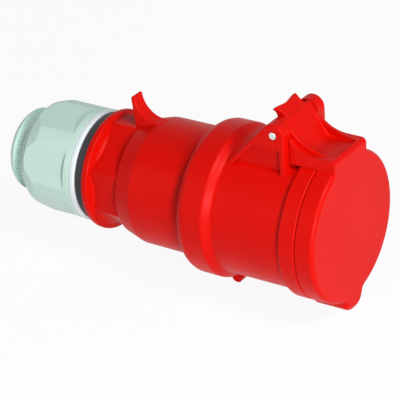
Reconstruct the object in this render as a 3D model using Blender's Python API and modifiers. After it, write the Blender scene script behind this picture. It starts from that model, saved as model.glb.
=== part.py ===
# Five-pole industrial cable socket with a sprung lid and a cable gland.
# Metres, +Z up. The socket's axis is X, with the mouth and the lid towards +X and the cable towards -X.
# The origin is the middle of the contact carrier's front face, where the plug's pins go in.

import math

import bmesh
import bpy
from mathutils import Matrix, Vector

# The mating plug's sizes, which set the socket's inside
SLEEVE_OUTER_R = 0.0350
SLEEVE_WALL = 0.00325
SLEEVE_DEPTH = 0.0460
SLEEVE_PLAY = 0.0005
CARRIER_PLAY = 0.00075
PIN_CIRCLE_R = 0.0183
PHASE_PIN_R = 0.0030
EARTH_PIN_R = 0.0040
PIN_PLAY = 0.0003

# Gap between pieces that touch, and between a shaft and its hole
SEAT = 0.0003

# Facets round a full turn
SHELL_FACETS = 44
GLAND_INNER_FACETS = 24
SMALL_FACETS = 12

# Front housing: shroud, rim and collar
BODY_WALL = 0.0019
RIM_PROUD = 0.0042
RIM_LENGTH = 0.0098
RIM_HEIGHT = 0.0026
RIM_GROOVE_DEPTH = 0.0002
RIM_ROUND = 0.0018
STOP_TO_SHOULDER = 0.0034
SHOULDER_LENGTH = 0.0075
COLLAR_HEIGHT = 0.0035
COLLAR_LENGTH = 0.0073
COLLAR_ROUND_LENGTH = 0.0060
COLLAR_REAR_DROP = 0.0039
SEAT_RING_LENGTH = 0.0030

# Round nose under the rim and the lid, and the keyway along the shroud
NOSE_DROP = 0.0069
NOSE_R = 0.0075
NOSE_HALF_FLAT = 0.0013
NOSE_FILLET = 0.0040
NOSE_WALL = 0.0026
KEY_HALF_WIDTH = 0.0050
KEY_DEPTH = 0.0017
KEY_RIB_WALL = 0.0017
KEY_RIB_ROOT = 0.0045

# Handle: grip, taper, eight-sided waist, flange and neck
GRIP_INSET = 0.0031
GRIP_WALL = 0.0033
GRIP_LENGTH = 0.0485
GRIP_DRAFT = 0.0003
TAPER_LENGTH = 0.0100
TAPER_DROP = 0.0029
WAIST_LENGTH = 0.0175
WAIST_WALL = 0.0026
WAIST_CORNERS = ((112.5, 0.0041), (157.5, 0.0037), (203.0, 0.0045), (249.0, 0.0057))
WAIST_INNER_DROP = 0.0097
FLANGE_INSET = 0.0020
FLANGE_LENGTH = 0.0043
FLANGE_ROUND = 0.0018
NECK_R = 0.0240
NECK_WALL = 0.0035
NECK_LENGTH = 0.0277
NECK_STEP = 0.0040
CAGE_STOP_DEPTH = 0.0097

# Bayonet between the handle and the collar
LUG_COUNT = 3
LUG_HEIGHT = 0.0016
LUG_LENGTH = 0.0040
LUG_ROOT = 0.0012
LUG_HALF_ANGLE = math.radians(8)
BAYONET_TURN = math.radians(40)
BAYONET_BEHIND_COLLAR = 0.0018
BAYONET_LENGTH = 0.0060

# Latch tongue under the collar
LATCH_HALF_WIDTH = 0.0035
LATCH_THICKNESS = 0.0030
LATCH_CLEARANCE = 0.0009
LATCH_ROOT = 0.0010
LATCH_HEAD_HALF_WIDTH = 0.0080
LATCH_HEAD_DROP = 0.0041
LATCH_HEAD_LENGTH = 0.0099
LATCH_HEAD_FLAT = 0.0027
LATCH_HEAD_SLOPE = 0.0018
LATCH_TRIM = 0.0001
LATCH_BEHIND_SHOULDER = 0.0016
LATCH_GUARD_LENGTH = 0.0065
LATCH_GUARD_HEIGHT = 0.0025

# Thumb hook on the handle
HOOK_HALF_WIDTH = 0.0040
HOOK_HEIGHT = 0.0128
HOOK_SWEEP_R = 0.0136
HOOK_BACK_SETBACK = 0.0030
HOOK_TIP_THICKNESS = 0.0021
HOOK_TIP_CHAMFER = 0.0007
HOOK_TIP_SLOPE = 0.0012
HOOK_SWEEP_RISE = 0.0008
HOOK_LEAN = 0.0023

# Hinge
PIN_BEHIND_RIM = 0.0216
PIN_HEIGHT = 0.0153
PIN_R = 0.0020
PIN_STAND_OUT = 0.0002
EAR_INNER_Y = 0.0130
EAR_OUTER_Y = 0.0203
EAR_R = 0.0062
EAR_SPREAD = 0.0285
EAR_FOOT_DEPTH = 0.0058
EAR_ROOT_DEPTH = 0.0074
EAR_LEG = 0.0028
EAR_POCKET_DEPTH = 0.0020
EAR_POCKET_BELOW_PIN = 0.0070

# Lid
LID_GAP = 0.0003
LID_INSET = 0.0001
LID_LENGTH = 0.0104
LID_ROUND = 0.0025
LID_WALL = 0.0028
LID_SKIRT = 0.0019
LID_LEDGE_WIDTH = 0.0055
LID_POCKET_ROOT = 0.0015
BOX_ROOT = 0.0050
CHEEK_OUTER_Y = 0.0157
CHEEK_INNER_Y = 0.0115
CHEEK_HEIGHT = 0.0035
CHEEK_SWEEP_R = 0.0202
CHEEK_SWEEP_BACK = 0.0107
CHEEK_FRONT_ROUND = 0.0026
FACE_SETBACK = 0.0001
SCOOP_HEIGHT = 0.0022
SCOOP_R = 0.0050
SCOOP_LENGTH = 0.0161
ARM_RISE = 0.0060
ARM_FRONT = 0.0047
ARM_TOP = 0.0026
LEVER_HALF_WIDTH = 0.0095
LEVER_THICKNESS = 0.0028
LEVER_BEND = (0.0016, 0.0062)
LEVER_TIP = (-0.0042, 0.0106)
LEVER_FRONT = ((0.0047, 0.0019), (0.0048, 0.0029))
LEVER_REAR = ((-0.0041, 0.0045), (-0.0037, 0.0019))

# Torsion spring on the hinge pin
SPRING_WIRE_R = 0.00045
SPRING_R = 0.0035
SPRING_RECESS_Y = 0.0095
SPRING_LEG = 0.0058
SPRING_ROOM_FRONT = 0.0012
SPRING_ROOM_STEP = 0.0001

# Seals
LID_SEAL_WIDTH = 0.0043
LID_SEAL_LENGTH = 0.0030
JOINT_SEAL_WIRE_R = 0.0007
JOINT_SEAL_SETBACK = 0.0026
NECK_SEAL_WIDTH = 0.0052

# Contact carrier and contacts
CARRIER_FLANGE_INSET = 0.0001
CARRIER_FLANGE_LENGTH = 0.0046
CARRIER_ROUND = 0.0010
ENTRY_LENGTH = 0.0030
TUBE_WALL = 0.0012
TUBE_SLOT = 0.0008
TUBE_SLOT_LENGTH = 0.0220
TUBE_SHOULDER = 0.0010
TUBE_PLUG_SETBACK = 0.0040
TUBE_PLUG_LENGTH = 0.0020
BARREL_WALL = 0.0021
BARREL_LENGTH = 0.0220
BARREL_STAND_OUT = 0.0103
CLIP_WIRE_R = 0.0004
CLIP_DEPTH = 0.0090
CLIP_GAP = math.radians(30)
SCREW_R = 0.0019
SCREW_LENGTH = 0.0042
SCREW_SLOT = 0.0008
SCREW_SETBACK = 0.0050

# Cable gland
NUT_GAP = 0.0057
NUT_WALL = 0.0062
NUT_FLAT_DEPTH = 0.0021
NUT_COLLAR_LENGTH = 0.0070
NUT_ROUND = 0.0010
NUT_FLATS_LENGTH = 0.0210
NUT_CHAMFER_LENGTH = 0.0063
NUT_CHAMFER_DROP = 0.0021
NUT_GROOVE_LENGTH = 0.0008
NUT_GROOVE_STEP = 0.0003
NUT_RING_DROP = 0.0036
NUT_RING_SLOPE = 0.0014
NUT_RING_LENGTH = 0.0038
NUT_RECESS_DROP = 0.0092
NUT_RECESS_SLOPE = 0.0008
NUT_RECESS_LENGTH = 0.0066
NUT_LIP_DROP = 0.0077
NUT_LIP_LENGTH = 0.0050
NUT_LIP_ROUND = ((0.0014, 0.0002), (0.0035, 0.0019), (0.0050, 0.0050))
NUT_BORE_PLAY = 0.0005
NUT_MOUTH_DROP = 0.0095
NUT_TURN = math.radians(17)
CAGE_WALL = 0.0027
CAGE_FINGERS = 10
CAGE_FINGER_GAP = 0.0016
CAGE_FINGER_LENGTH = 0.0120
CAGE_FINGER_END = 0.0020
CAGE_SLIT_RUN = 0.0030
CABLE_SEAL_WALL = 0.0045
CABLE_SEAL_EDGE = 0.0010

# Radii that follow from the sizes above
BORE_R = SLEEVE_OUTER_R + SLEEVE_PLAY
BODY_R = BORE_R + BODY_WALL
CARRIER_R = SLEEVE_OUTER_R - SLEEVE_WALL - CARRIER_PLAY
RIM_R = BODY_R + RIM_HEIGHT
LID_R = RIM_R - LID_INSET
COLLAR_R = BODY_R + COLLAR_HEIGHT
COLLAR_REAR_R = COLLAR_R - COLLAR_REAR_DROP
GRIP_R = BODY_R - GRIP_INSET
COLLAR_BORE_R = GRIP_R + SEAT
CARRIER_FLANGE_R = GRIP_R - CARRIER_FLANGE_INSET
TAPER_END_R = GRIP_R - GRIP_DRAFT - TAPER_DROP
WAIST_INNER_R = GRIP_R - WAIST_INNER_DROP
FLANGE_R = GRIP_R - FLANGE_INSET
NECK_BORE_R = NECK_R - NECK_WALL
NUT_R = NECK_R + NUT_WALL
NUT_APOTHEM = NUT_R - NUT_FLAT_DEPTH
NUT_MOUTH_R = NECK_R - NUT_MOUTH_DROP
PIN_HOLE_R = PIN_R + SEAT

# Places along the axis that follow from the sizes above
RIM_FRONT_X = RIM_PROUD
RIM_REAR_X = RIM_FRONT_X - RIM_LENGTH
SEAT_RING_FRONT_X = RIM_FRONT_X - SLEEVE_DEPTH
SEAT_RING_REAR_X = SEAT_RING_FRONT_X - SEAT_RING_LENGTH
SHOULDER_X = SEAT_RING_FRONT_X - STOP_TO_SHOULDER
COLLAR_FRONT_X = SHOULDER_X - SHOULDER_LENGTH
COLLAR_ROUND_X = COLLAR_FRONT_X - COLLAR_LENGTH
COLLAR_REAR_X = COLLAR_ROUND_X - COLLAR_ROUND_LENGTH
BAYONET_FRONT_X = COLLAR_FRONT_X - BAYONET_BEHIND_COLLAR
JOINT_SEAL_X = COLLAR_REAR_X + JOINT_SEAL_SETBACK
CARRIER_FLANGE_X = SEAT_RING_REAR_X - SEAT
CARRIER_REAR_X = CARRIER_FLANGE_X - CARRIER_FLANGE_LENGTH
GRIP_FRONT_X = CARRIER_REAR_X - SEAT
GRIP_REAR_X = GRIP_FRONT_X - GRIP_LENGTH
TAPER_END_X = GRIP_REAR_X - TAPER_LENGTH
FLANGE_FRONT_X = TAPER_END_X - WAIST_LENGTH
FLANGE_REAR_X = FLANGE_FRONT_X - FLANGE_LENGTH
NECK_REAR_X = FLANGE_REAR_X - NECK_LENGTH
CAGE_STOP_X = FLANGE_REAR_X - CAGE_STOP_DEPTH
NUT_FRONT_X = FLANGE_REAR_X - NUT_GAP
BARREL_REAR_X = CARRIER_REAR_X - BARREL_STAND_OUT
LID_REAR_X = RIM_FRONT_X + LID_GAP
LID_FACE_X = LID_REAR_X + LID_LENGTH

# Places of the hinge and of the lid's box
PIN_X = RIM_FRONT_X - PIN_BEHIND_RIM
PIN_Z = BODY_R + PIN_HEIGHT
EAR_FRONT_X = PIN_X + EAR_R
EAR_FOOT_X = PIN_X - EAR_SPREAD
EAR_FOOT_Z = BODY_R - EAR_FOOT_DEPTH
KNUCKLE_HALF_WIDTH = EAR_INNER_Y - SEAT
BOX_LOW_Z = LID_R - BOX_ROOT
CHEEK_TOP_Z = LID_R + CHEEK_HEIGHT
SCOOP_FLOOR_Z = LID_R + SCOOP_HEIGHT

CONTACTS = ("L1", "L2", "L3", "N", "PE")
OVER = 0.0020  # how far a cutter runs past what it cuts


def clear_scene():
    for obj in list(bpy.data.objects):
        bpy.data.objects.remove(obj, do_unlink=True)


def collection(name, hidden=False):
    found = bpy.data.collections.new(name)
    bpy.context.scene.collection.children.link(found)
    found.hide_render = hidden
    return found


def finish_material(name, colour, roughness, metallic=0.0):
    """A Principled BSDF; the colour is sRGB hex."""
    channels = [int(colour[i : i + 2], 16) / 255 for i in (0, 2, 4)]
    linear = [c / 12.92 if c <= 0.04045 else ((c + 0.055) / 1.055) ** 2.4 for c in channels]
    material = bpy.data.materials.new(name)
    material.use_nodes = True
    shader = material.node_tree.nodes["Principled BSDF"]
    shader.inputs["Base Color"].default_value = (*linear, 1)
    shader.inputs["Roughness"].default_value = roughness
    shader.inputs["Metallic"].default_value = metallic
    return material


def rounded_corner(centre, radius, start, end, steps=4):
    """Points of an arc, from one angle in degrees to another."""
    points = []
    for step in range(steps + 1):
        angle = math.radians(start + (end - start) * step / steps)
        points.append((centre[0] + radius * math.cos(angle), centre[1] + radius * math.sin(angle)))
    return points


def baked(obj):
    """Turns what the modifiers make into the object's own mesh, with its faces pointing out."""
    graph = bpy.context.evaluated_depsgraph_get()
    mesh = bpy.data.meshes.new_from_object(obj.evaluated_get(graph))
    built = bmesh.new()
    built.from_mesh(mesh)
    bmesh.ops.remove_doubles(built, verts=built.verts, dist=1e-6)
    bmesh.ops.recalc_face_normals(built, faces=built.faces)
    built.to_mesh(mesh)
    built.free()
    if obj.type == "CURVE":
        placed = bpy.data.objects.new(obj.name + "_solid", mesh)
        placed.matrix_world = obj.matrix_world
        home = obj.users_collection[0]
        home.objects.link(placed)
        name = obj.name
        bpy.data.objects.remove(obj, do_unlink=True)
        placed.name = name
        return placed
    obj.modifiers.clear()
    obj.data = mesh
    return obj


def turned(name, outline, home, facets=SHELL_FACETS, start=0.0):
    """A closed outline of (x, radius) points turned about the X axis."""
    mesh = bpy.data.meshes.new(name)
    points = [(x, 0, radius) for x, radius in outline]
    edges = [(i, (i + 1) % len(points)) for i in range(len(points))]
    mesh.from_pydata(points, edges, [])
    obj = bpy.data.objects.new(name, mesh)
    home.objects.link(obj)
    obj.rotation_euler.x = start
    screw = obj.modifiers.new("Turn", "SCREW")
    screw.axis = "X"
    screw.angle = 2 * math.pi
    screw.steps = facets
    screw.render_steps = facets
    screw.use_merge_vertices = True
    screw.merge_threshold = 1e-6
    bpy.context.view_layer.update()
    return baked(obj)


def prism(name, outline, near, far, home, plane="XZ"):
    """A flat outline given thickness: in plane XZ it runs from y = near to far, in plane YZ from x = near to far."""
    curve = bpy.data.curves.new(name, "CURVE")
    curve.dimensions = "2D"
    curve.fill_mode = "BOTH"
    curve.extrude = (far - near) / 2
    spline = curve.splines.new("POLY")
    spline.points.add(len(outline) - 1)
    for point, (u, v) in zip(spline.points, outline):
        point.co = (u, v, 0, 1)
    spline.use_cyclic_u = True
    obj = bpy.data.objects.new(name, curve)
    home.objects.link(obj)
    middle = (near + far) / 2
    if plane == "XZ":
        axes = Matrix(((1, 0, 0, 0), (0, 0, 1, middle), (0, 1, 0, 0), (0, 0, 0, 1)))
    else:
        axes = Matrix(((0, 0, 1, middle), (1, 0, 0, 0), (0, 1, 0, 0), (0, 0, 0, 1)))
    obj.matrix_world = axes
    bpy.context.view_layer.update()
    solid = baked(obj)
    solid.data.transform(axes)
    solid.matrix_world = Matrix.Identity(4)
    fixed = bmesh.new()
    fixed.from_mesh(solid.data)
    bmesh.ops.recalc_face_normals(fixed, faces=fixed.faces)
    fixed.to_mesh(solid.data)
    fixed.free()
    return solid


def block(name, low, high, home):
    bpy.ops.mesh.primitive_cube_add(size=1)
    obj = bpy.context.object
    obj.name = name
    obj.data.transform(Matrix.Diagonal([b - a for a, b in zip(low, high)] + [1]))
    obj.data.transform(Matrix.Translation([(a + b) / 2 for a, b in zip(low, high)]))
    moved_to(obj, home)
    return obj


def rod(name, radius, start, end, home, facets=SMALL_FACETS):
    """A cylinder from one point to another."""
    along = Vector(end) - Vector(start)
    bpy.ops.mesh.primitive_cylinder_add(vertices=facets, radius=radius, depth=along.length)
    obj = bpy.context.object
    obj.name = name
    turn = along.to_track_quat("Z", "Y").to_matrix().to_4x4()
    obj.data.transform(Matrix.Translation((Vector(start) + Vector(end)) / 2) @ turn)
    moved_to(obj, home)
    return obj


def moved_to(obj, home):
    for old in list(obj.users_collection):
        old.objects.unlink(obj)
    home.objects.link(obj)


def wire(name, points, radius, home, closed=False):
    """A round wire through the points."""
    curve = bpy.data.curves.new(name, "CURVE")
    curve.dimensions = "3D"
    curve.bevel_depth = radius
    curve.bevel_resolution = 1
    curve.use_fill_caps = not closed
    spline = curve.splines.new("POLY")
    spline.points.add(len(points) - 1)
    for point, place in zip(spline.points, points):
        point.co = (*place, 1)
    spline.use_cyclic_u = closed
    obj = bpy.data.objects.new(name, curve)
    home.objects.link(obj)
    bpy.context.view_layer.update()
    return baked(obj)


def rounded(obj, width, segments=2):
    bevel = obj.modifiers.new("Round", "BEVEL")
    bevel.width = width
    bevel.segments = segments
    bevel.limit_method = "ANGLE"
    bevel.angle_limit = math.radians(40)
    return obj


def combine(obj, other, operation, cutters):
    """Joins, cuts or keeps the overlap with another solid, which becomes a hidden operand."""
    moved_to(other, cutters)
    other.hide_render = True
    other.display_type = "WIRE"
    boolean = obj.modifiers.new(other.name, "BOOLEAN")
    boolean.operation = operation
    boolean.object = other
    boolean.solver = "MANIFOLD"


def joined(obj, other, cutters):
    combine(obj, other, "UNION", cutters)


def cut(obj, other, cutters):
    combine(obj, other, "DIFFERENCE", cutters)


def turned_about_x(obj, angle):
    obj.data.transform(Matrix.Rotation(angle, 4, "X"))
    return obj


def nose_outline(inset=0.0, root=RIM_HEIGHT):
    """The nose in the YZ plane: a round bump with a hollow fillet on each side where it leaves the rim."""
    corner = NOSE_R - inset
    middle = Vector((NOSE_HALF_FLAT, NOSE_R - NOSE_DROP - RIM_R))
    top = root - RIM_R
    if inset:
        right = [(middle.x + corner, top)] + rounded_corner(middle, corner, 0, -90)
    else:
        to_axis = middle.length
        to_rim = RIM_R + NOSE_FILLET
        along = (to_rim**2 - (corner + NOSE_FILLET) ** 2 + to_axis**2) / (2 * to_axis)
        out = math.sqrt(to_rim**2 - along**2)
        unit = middle / to_axis
        centre = unit * along + Vector((-unit.y, unit.x)) * out
        start = math.degrees(math.atan2(-centre.y, -centre.x))
        meet = middle - centre
        end = math.degrees(math.atan2(meet.y, meet.x)) % 360
        leave = math.degrees(math.atan2(-meet.y, -meet.x))
        right = [(centre.x, top)] + rounded_corner(centre, NOSE_FILLET, start, end, 3)
        right += rounded_corner(middle, corner, leave, -90)[1:]
    return right + [(-y, z) for y, z in reversed(right)]


def front_housing(parts, cutters):
    """Shroud, rim, collar and ears, moulded in one."""
    shoulder = []
    steps = 5
    for step in range(steps + 1):
        share = step / steps
        ease = share * share * (3 - 2 * share)
        shoulder.append((SHOULDER_X - share * SHOULDER_LENGTH, BODY_R + ease * (COLLAR_R - BODY_R)))
    rear_round = []
    steps = 4
    for step in range(1, steps + 1):
        angle = math.pi / 2 * step / steps
        x = COLLAR_ROUND_X - COLLAR_ROUND_LENGTH * math.sin(angle)
        rear_round.append((x, COLLAR_REAR_R + (COLLAR_R - COLLAR_REAR_R) * math.cos(angle)))
    rim_rear = rounded_corner((RIM_REAR_X + RIM_ROUND, RIM_R - RIM_ROUND), RIM_ROUND, 90, 180, 3)
    outline = [(RIM_FRONT_X, 0), (RIM_FRONT_X, RIM_R - RIM_GROOVE_DEPTH)]
    outline += [(RIM_FRONT_X - RIM_GROOVE_DEPTH, RIM_R)] + rim_rear
    outline += [(RIM_REAR_X, BODY_R)] + shoulder + rear_round + [(COLLAR_REAR_X, 0)]
    housing = turned("front_housing", outline, parts)

    nose = prism("rim_nose", nose_outline(), RIM_REAR_X, RIM_FRONT_X, cutters, "YZ")
    joined(housing, nose, cutters)
    key_low = -(BORE_R + KEY_DEPTH)
    rib_half = KEY_HALF_WIDTH + KEY_RIB_WALL
    rib = block(
        "key_rib",
        (SEAT_RING_FRONT_X, -rib_half, key_low - KEY_RIB_WALL),
        (RIM_REAR_X + RIM_ROUND, rib_half, KEY_RIB_ROOT - BODY_R),
        cutters,
    )
    joined(housing, rounded(rib, KEY_RIB_WALL / 2), cutters)
    guard_front = latch_head_rear() - SEAT
    guard = block(
        "latch_guard",
        (guard_front - LATCH_GUARD_LENGTH, -LATCH_HEAD_HALF_WIDTH, -(COLLAR_R + LATCH_GUARD_HEIGHT)),
        (guard_front, LATCH_HEAD_HALF_WIDTH, -(COLLAR_R - LATCH_GUARD_HEIGHT)),
        cutters,
    )
    joined(housing, rounded(guard, LATCH_GUARD_HEIGHT / 3), cutters)
    for side, word in ((-1, "near"), (1, "far")):
        joined(housing, ear(word, side, cutters), cutters)

    bore = turned(
        "shroud_bore",
        [
            (RIM_FRONT_X + OVER, 0),
            (RIM_FRONT_X + OVER, BORE_R),
            (SEAT_RING_FRONT_X, BORE_R),
            (SEAT_RING_FRONT_X, CARRIER_R + SEAT),
            (SEAT_RING_REAR_X, CARRIER_R + SEAT),
            (SEAT_RING_REAR_X, COLLAR_BORE_R),
            (BAYONET_FRONT_X, COLLAR_BORE_R),
            (BAYONET_FRONT_X, COLLAR_BORE_R + LUG_HEIGHT),
            (BAYONET_FRONT_X - BAYONET_LENGTH, COLLAR_BORE_R + LUG_HEIGHT),
            (BAYONET_FRONT_X - BAYONET_LENGTH, COLLAR_BORE_R),
            (COLLAR_REAR_X - OVER, COLLAR_BORE_R),
            (COLLAR_REAR_X - OVER, 0),
        ],
        cutters,
    )
    cut(housing, bore, cutters)
    nose_pocket = prism(
        "rim_nose_pocket",
        nose_outline(NOSE_WALL),
        RIM_REAR_X + BODY_WALL,
        RIM_FRONT_X + OVER,
        cutters,
        "YZ",
    )
    cut(housing, nose_pocket, cutters)
    keyway = block(
        "keyway",
        (SEAT_RING_FRONT_X + BODY_WALL, -KEY_HALF_WIDTH, key_low),
        (RIM_FRONT_X + OVER, KEY_HALF_WIDTH, KEY_RIB_ROOT - BODY_R),
        cutters,
    )
    cut(housing, keyway, cutters)
    for index in range(LUG_COUNT):
        entry = lug("lug_entry", index, BAYONET_TURN, COLLAR_REAR_X - OVER, BAYONET_FRONT_X - SEAT, SEAT, cutters)
        cut(housing, entry, cutters)
    channel = block(
        "latch_channel",
        (BAYONET_FRONT_X - BAYONET_LENGTH, -LATCH_HALF_WIDTH - SEAT, latch_low() - SEAT),
        (SEAT_RING_REAR_X + SEAT, LATCH_HALF_WIDTH + SEAT, OVER - COLLAR_BORE_R),
        cutters,
    )
    cut(housing, channel, cutters)
    notch = block(
        "latch_notch",
        (latch_head_rear() - SEAT, -LATCH_HEAD_HALF_WIDTH - SEAT, -COLLAR_R - OVER),
        (SHOULDER_X + OVER, LATCH_HEAD_HALF_WIDTH + SEAT, -BODY_R - SEAT / 6),
        cutters,
    )
    cut(housing, notch, cutters)
    hole_end = EAR_OUTER_Y + OVER
    pin_hole = rod("ear_pin_hole", PIN_HOLE_R, (PIN_X, -hole_end, PIN_Z), (PIN_X, hole_end, PIN_Z), cutters)
    cut(housing, pin_hole, cutters)
    return housing


def ear(word, side, cutters):
    """One hinge ear: a plate with two legs standing proud of it and a round head about the pin."""
    slope = math.atan2(PIN_Z - EAR_FOOT_Z, PIN_X - EAR_FOOT_X)
    reach = math.hypot(PIN_Z - EAR_FOOT_Z, PIN_X - EAR_FOOT_X)
    slope += math.asin(EAR_R / reach)
    tangent = math.degrees(slope) + 90
    foot = BODY_R - EAR_ROOT_DEPTH
    outline = [(EAR_FRONT_X, foot)]
    outline += rounded_corner((PIN_X, PIN_Z), EAR_R, 0, tangent, 8)
    outline += [(EAR_FOOT_X, EAR_FOOT_Z), (EAR_FOOT_X, foot)]
    near, far = sorted((side * EAR_INNER_Y, side * EAR_OUTER_Y))
    plate = prism("ear_" + word, outline, near, far, cutters)
    along = Vector((math.cos(slope), math.sin(slope)))
    inward = Vector((along.y, -along.x))
    line = Vector((EAR_FOOT_X, EAR_FOOT_Z)) + inward * EAR_LEG
    pocket_top = PIN_Z - EAR_POCKET_BELOW_PIN
    at_top = line + along * ((pocket_top - line.y) / along.y)
    deep = foot - OVER
    at_foot = line + along * ((deep - line.y) / along.y)
    pocket_front = EAR_FRONT_X - EAR_LEG
    pocket_outline = [(pocket_front, deep), (pocket_front, pocket_top), tuple(at_top), tuple(at_foot)]
    near, far = sorted((side * (EAR_OUTER_Y - EAR_POCKET_DEPTH), side * (EAR_OUTER_Y + OVER)))
    pocket = prism("ear_pocket_" + word, pocket_outline, near, far, cutters)
    cut(plate, pocket, cutters)
    return plate


def lug(name, index, turn, rear, front, play, cutters):
    """A block on the handle's spigot, or the slot that lets it in."""
    angle = math.pi / 2 + 2 * math.pi * index / LUG_COUNT + turn
    top_r = GRIP_R + LUG_HEIGHT
    half = math.sin(LUG_HALF_ANGLE) * top_r + play
    top = math.cos(LUG_HALF_ANGLE) * top_r + play
    shape = block(f"{name}_{index + 1}", (rear, -half, GRIP_R - LUG_ROOT), (front, half, top), cutters)
    return turned_about_x(shape, angle - math.pi / 2)


def latch_low():
    return -(GRIP_R + LATCH_CLEARANCE + LATCH_THICKNESS)


def latch_head_rear():
    return COLLAR_FRONT_X - LATCH_BEHIND_SHOULDER


def handle(parts, cutters):
    """Grip, taper, waist, flange and neck, with the hook, the lugs and the latch tongue."""
    grip = turned(
        "handle",
        [
            (GRIP_FRONT_X, 0),
            (GRIP_FRONT_X, GRIP_R - SEAT),
            (GRIP_FRONT_X - SEAT, GRIP_R),
            (GRIP_REAR_X, GRIP_R - GRIP_DRAFT),
            (TAPER_END_X, TAPER_END_R),
            (TAPER_END_X - TAPER_END_R + WAIST_INNER_R, WAIST_INNER_R),
            (TAPER_END_X - TAPER_END_R + WAIST_INNER_R, 0),
        ],
        parts,
    )
    waist_outline = []
    for angle, drop in WAIST_CORNERS:
        turn = math.radians(angle)
        reach = GRIP_R - drop
        waist_outline.append((reach * math.cos(turn), reach * math.sin(turn)))
    waist_outline += [(-y, z) for y, z in reversed(waist_outline)]
    waist = prism("waist", waist_outline, FLANGE_FRONT_X - FLANGE_LENGTH / 2, TAPER_END_X, cutters, "YZ")
    joined(grip, waist, cutters)
    flange_front = rounded_corner(
        (FLANGE_FRONT_X - FLANGE_ROUND, FLANGE_R - FLANGE_ROUND), FLANGE_ROUND, 0, 90, 3
    )
    flange_rear = rounded_corner(
        (FLANGE_REAR_X + FLANGE_ROUND, FLANGE_R - FLANGE_ROUND), FLANGE_ROUND, 90, 180, 3
    )
    flange = turned(
        "flange_and_neck",
        [(FLANGE_FRONT_X, 0)]
        + flange_front
        + flange_rear
        + [(FLANGE_REAR_X, NECK_R), (NECK_REAR_X + SEAT, NECK_R), (NECK_REAR_X, NECK_R - SEAT), (NECK_REAR_X, 0)],
        cutters,
    )
    joined(grip, flange, cutters)
    joined(grip, hook(cutters), cutters)
    cavity_r = GRIP_R - GRIP_WALL
    stop_r = NECK_BORE_R - NECK_STEP
    cavity = turned(
        "handle_cavity",
        [
            (GRIP_FRONT_X + OVER, 0),
            (GRIP_FRONT_X + OVER, cavity_r),
            (GRIP_REAR_X, cavity_r),
            (TAPER_END_X, WAIST_INNER_R),
            (FLANGE_FRONT_X + WAIST_WALL, WAIST_INNER_R),
            (FLANGE_FRONT_X - SEAT, stop_r),
            (CAGE_STOP_X, stop_r),
            (CAGE_STOP_X, NECK_BORE_R),
            (NECK_REAR_X - OVER, NECK_BORE_R),
            (NECK_REAR_X - OVER, 0),
        ],
        cutters,
    )
    cut(grip, cavity, cutters)
    groove_r = GRIP_R - 2 * JOINT_SEAL_WIRE_R - SEAT
    half_groove = JOINT_SEAL_WIRE_R + SEAT
    groove = turned(
        "joint_seal_groove",
        [
            (JOINT_SEAL_X + half_groove, groove_r),
            (JOINT_SEAL_X + half_groove, GRIP_R + OVER),
            (JOINT_SEAL_X - half_groove, GRIP_R + OVER),
            (JOINT_SEAL_X - half_groove, groove_r),
        ],
        cutters,
    )
    cut(grip, groove, cutters)
    lug_rear = BAYONET_FRONT_X - BAYONET_LENGTH + (BAYONET_LENGTH - LUG_LENGTH) / 2
    for index in range(LUG_COUNT):
        joined(grip, lug("lug", index, 0, lug_rear, lug_rear + LUG_LENGTH, 0, cutters), cutters)
    root_rear = BAYONET_FRONT_X - BAYONET_LENGTH + SEAT
    tongue_top = latch_low() + LATCH_THICKNESS
    root = block(
        "latch_root",
        (root_rear, -LATCH_HALF_WIDTH, latch_low()),
        (root_rear + LATCH_THICKNESS, LATCH_HALF_WIDTH, LATCH_ROOT - GRIP_R),
        cutters,
    )
    tongue = block(
        "latch_tongue",
        (root_rear + LATCH_THICKNESS / 2, LATCH_TRIM - LATCH_HALF_WIDTH, latch_low() + LATCH_TRIM),
        (SEAT_RING_REAR_X - SEAT, LATCH_HALF_WIDTH - LATCH_TRIM, tongue_top),
        cutters,
    )
    head_rear = latch_head_rear()
    head_front = head_rear + LATCH_HEAD_LENGTH
    head_top = -(BODY_R + SEAT)
    head_low = -(COLLAR_R + LATCH_HEAD_DROP)
    head = prism(
        "latch_head",
        [
            (head_rear, head_top),
            (head_rear, head_low + LATCH_HEAD_SLOPE),
            (head_rear + LATCH_HEAD_SLOPE, head_low),
            (head_rear + LATCH_HEAD_SLOPE + LATCH_HEAD_FLAT, head_low),
            (head_front, head_top),
        ],
        -LATCH_HEAD_HALF_WIDTH,
        LATCH_HEAD_HALF_WIDTH,
        cutters,
    )
    for piece in (root, tongue, head):
        joined(grip, piece, cutters)
    return grip


def hook(cutters):
    """The thumb hook: a fin with a concave front that runs out along the taper."""
    tip_z = GRIP_R + HOOK_HEIGHT
    back_x = TAPER_END_X - HOOK_BACK_SETBACK
    tip_x = back_x - HOOK_LEAN
    centre = (tip_x + HOOK_TIP_THICKNESS + HOOK_SWEEP_R, tip_z + HOOK_SWEEP_RISE)
    sweep = rounded_corner(centre, HOOK_SWEEP_R, 184, 276, 8)
    root = WAIST_INNER_R + WAIST_WALL / 2
    outline = [(sweep[-1][0], root), (back_x, root), (tip_x, tip_z - HOOK_TIP_SLOPE), (tip_x + HOOK_TIP_CHAMFER, tip_z)]
    outline += sweep
    return rounded(prism("thumb_hook", outline, -HOOK_HALF_WIDTH, HOOK_HALF_WIDTH, cutters), HOOK_TIP_CHAMFER, 1)


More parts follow.
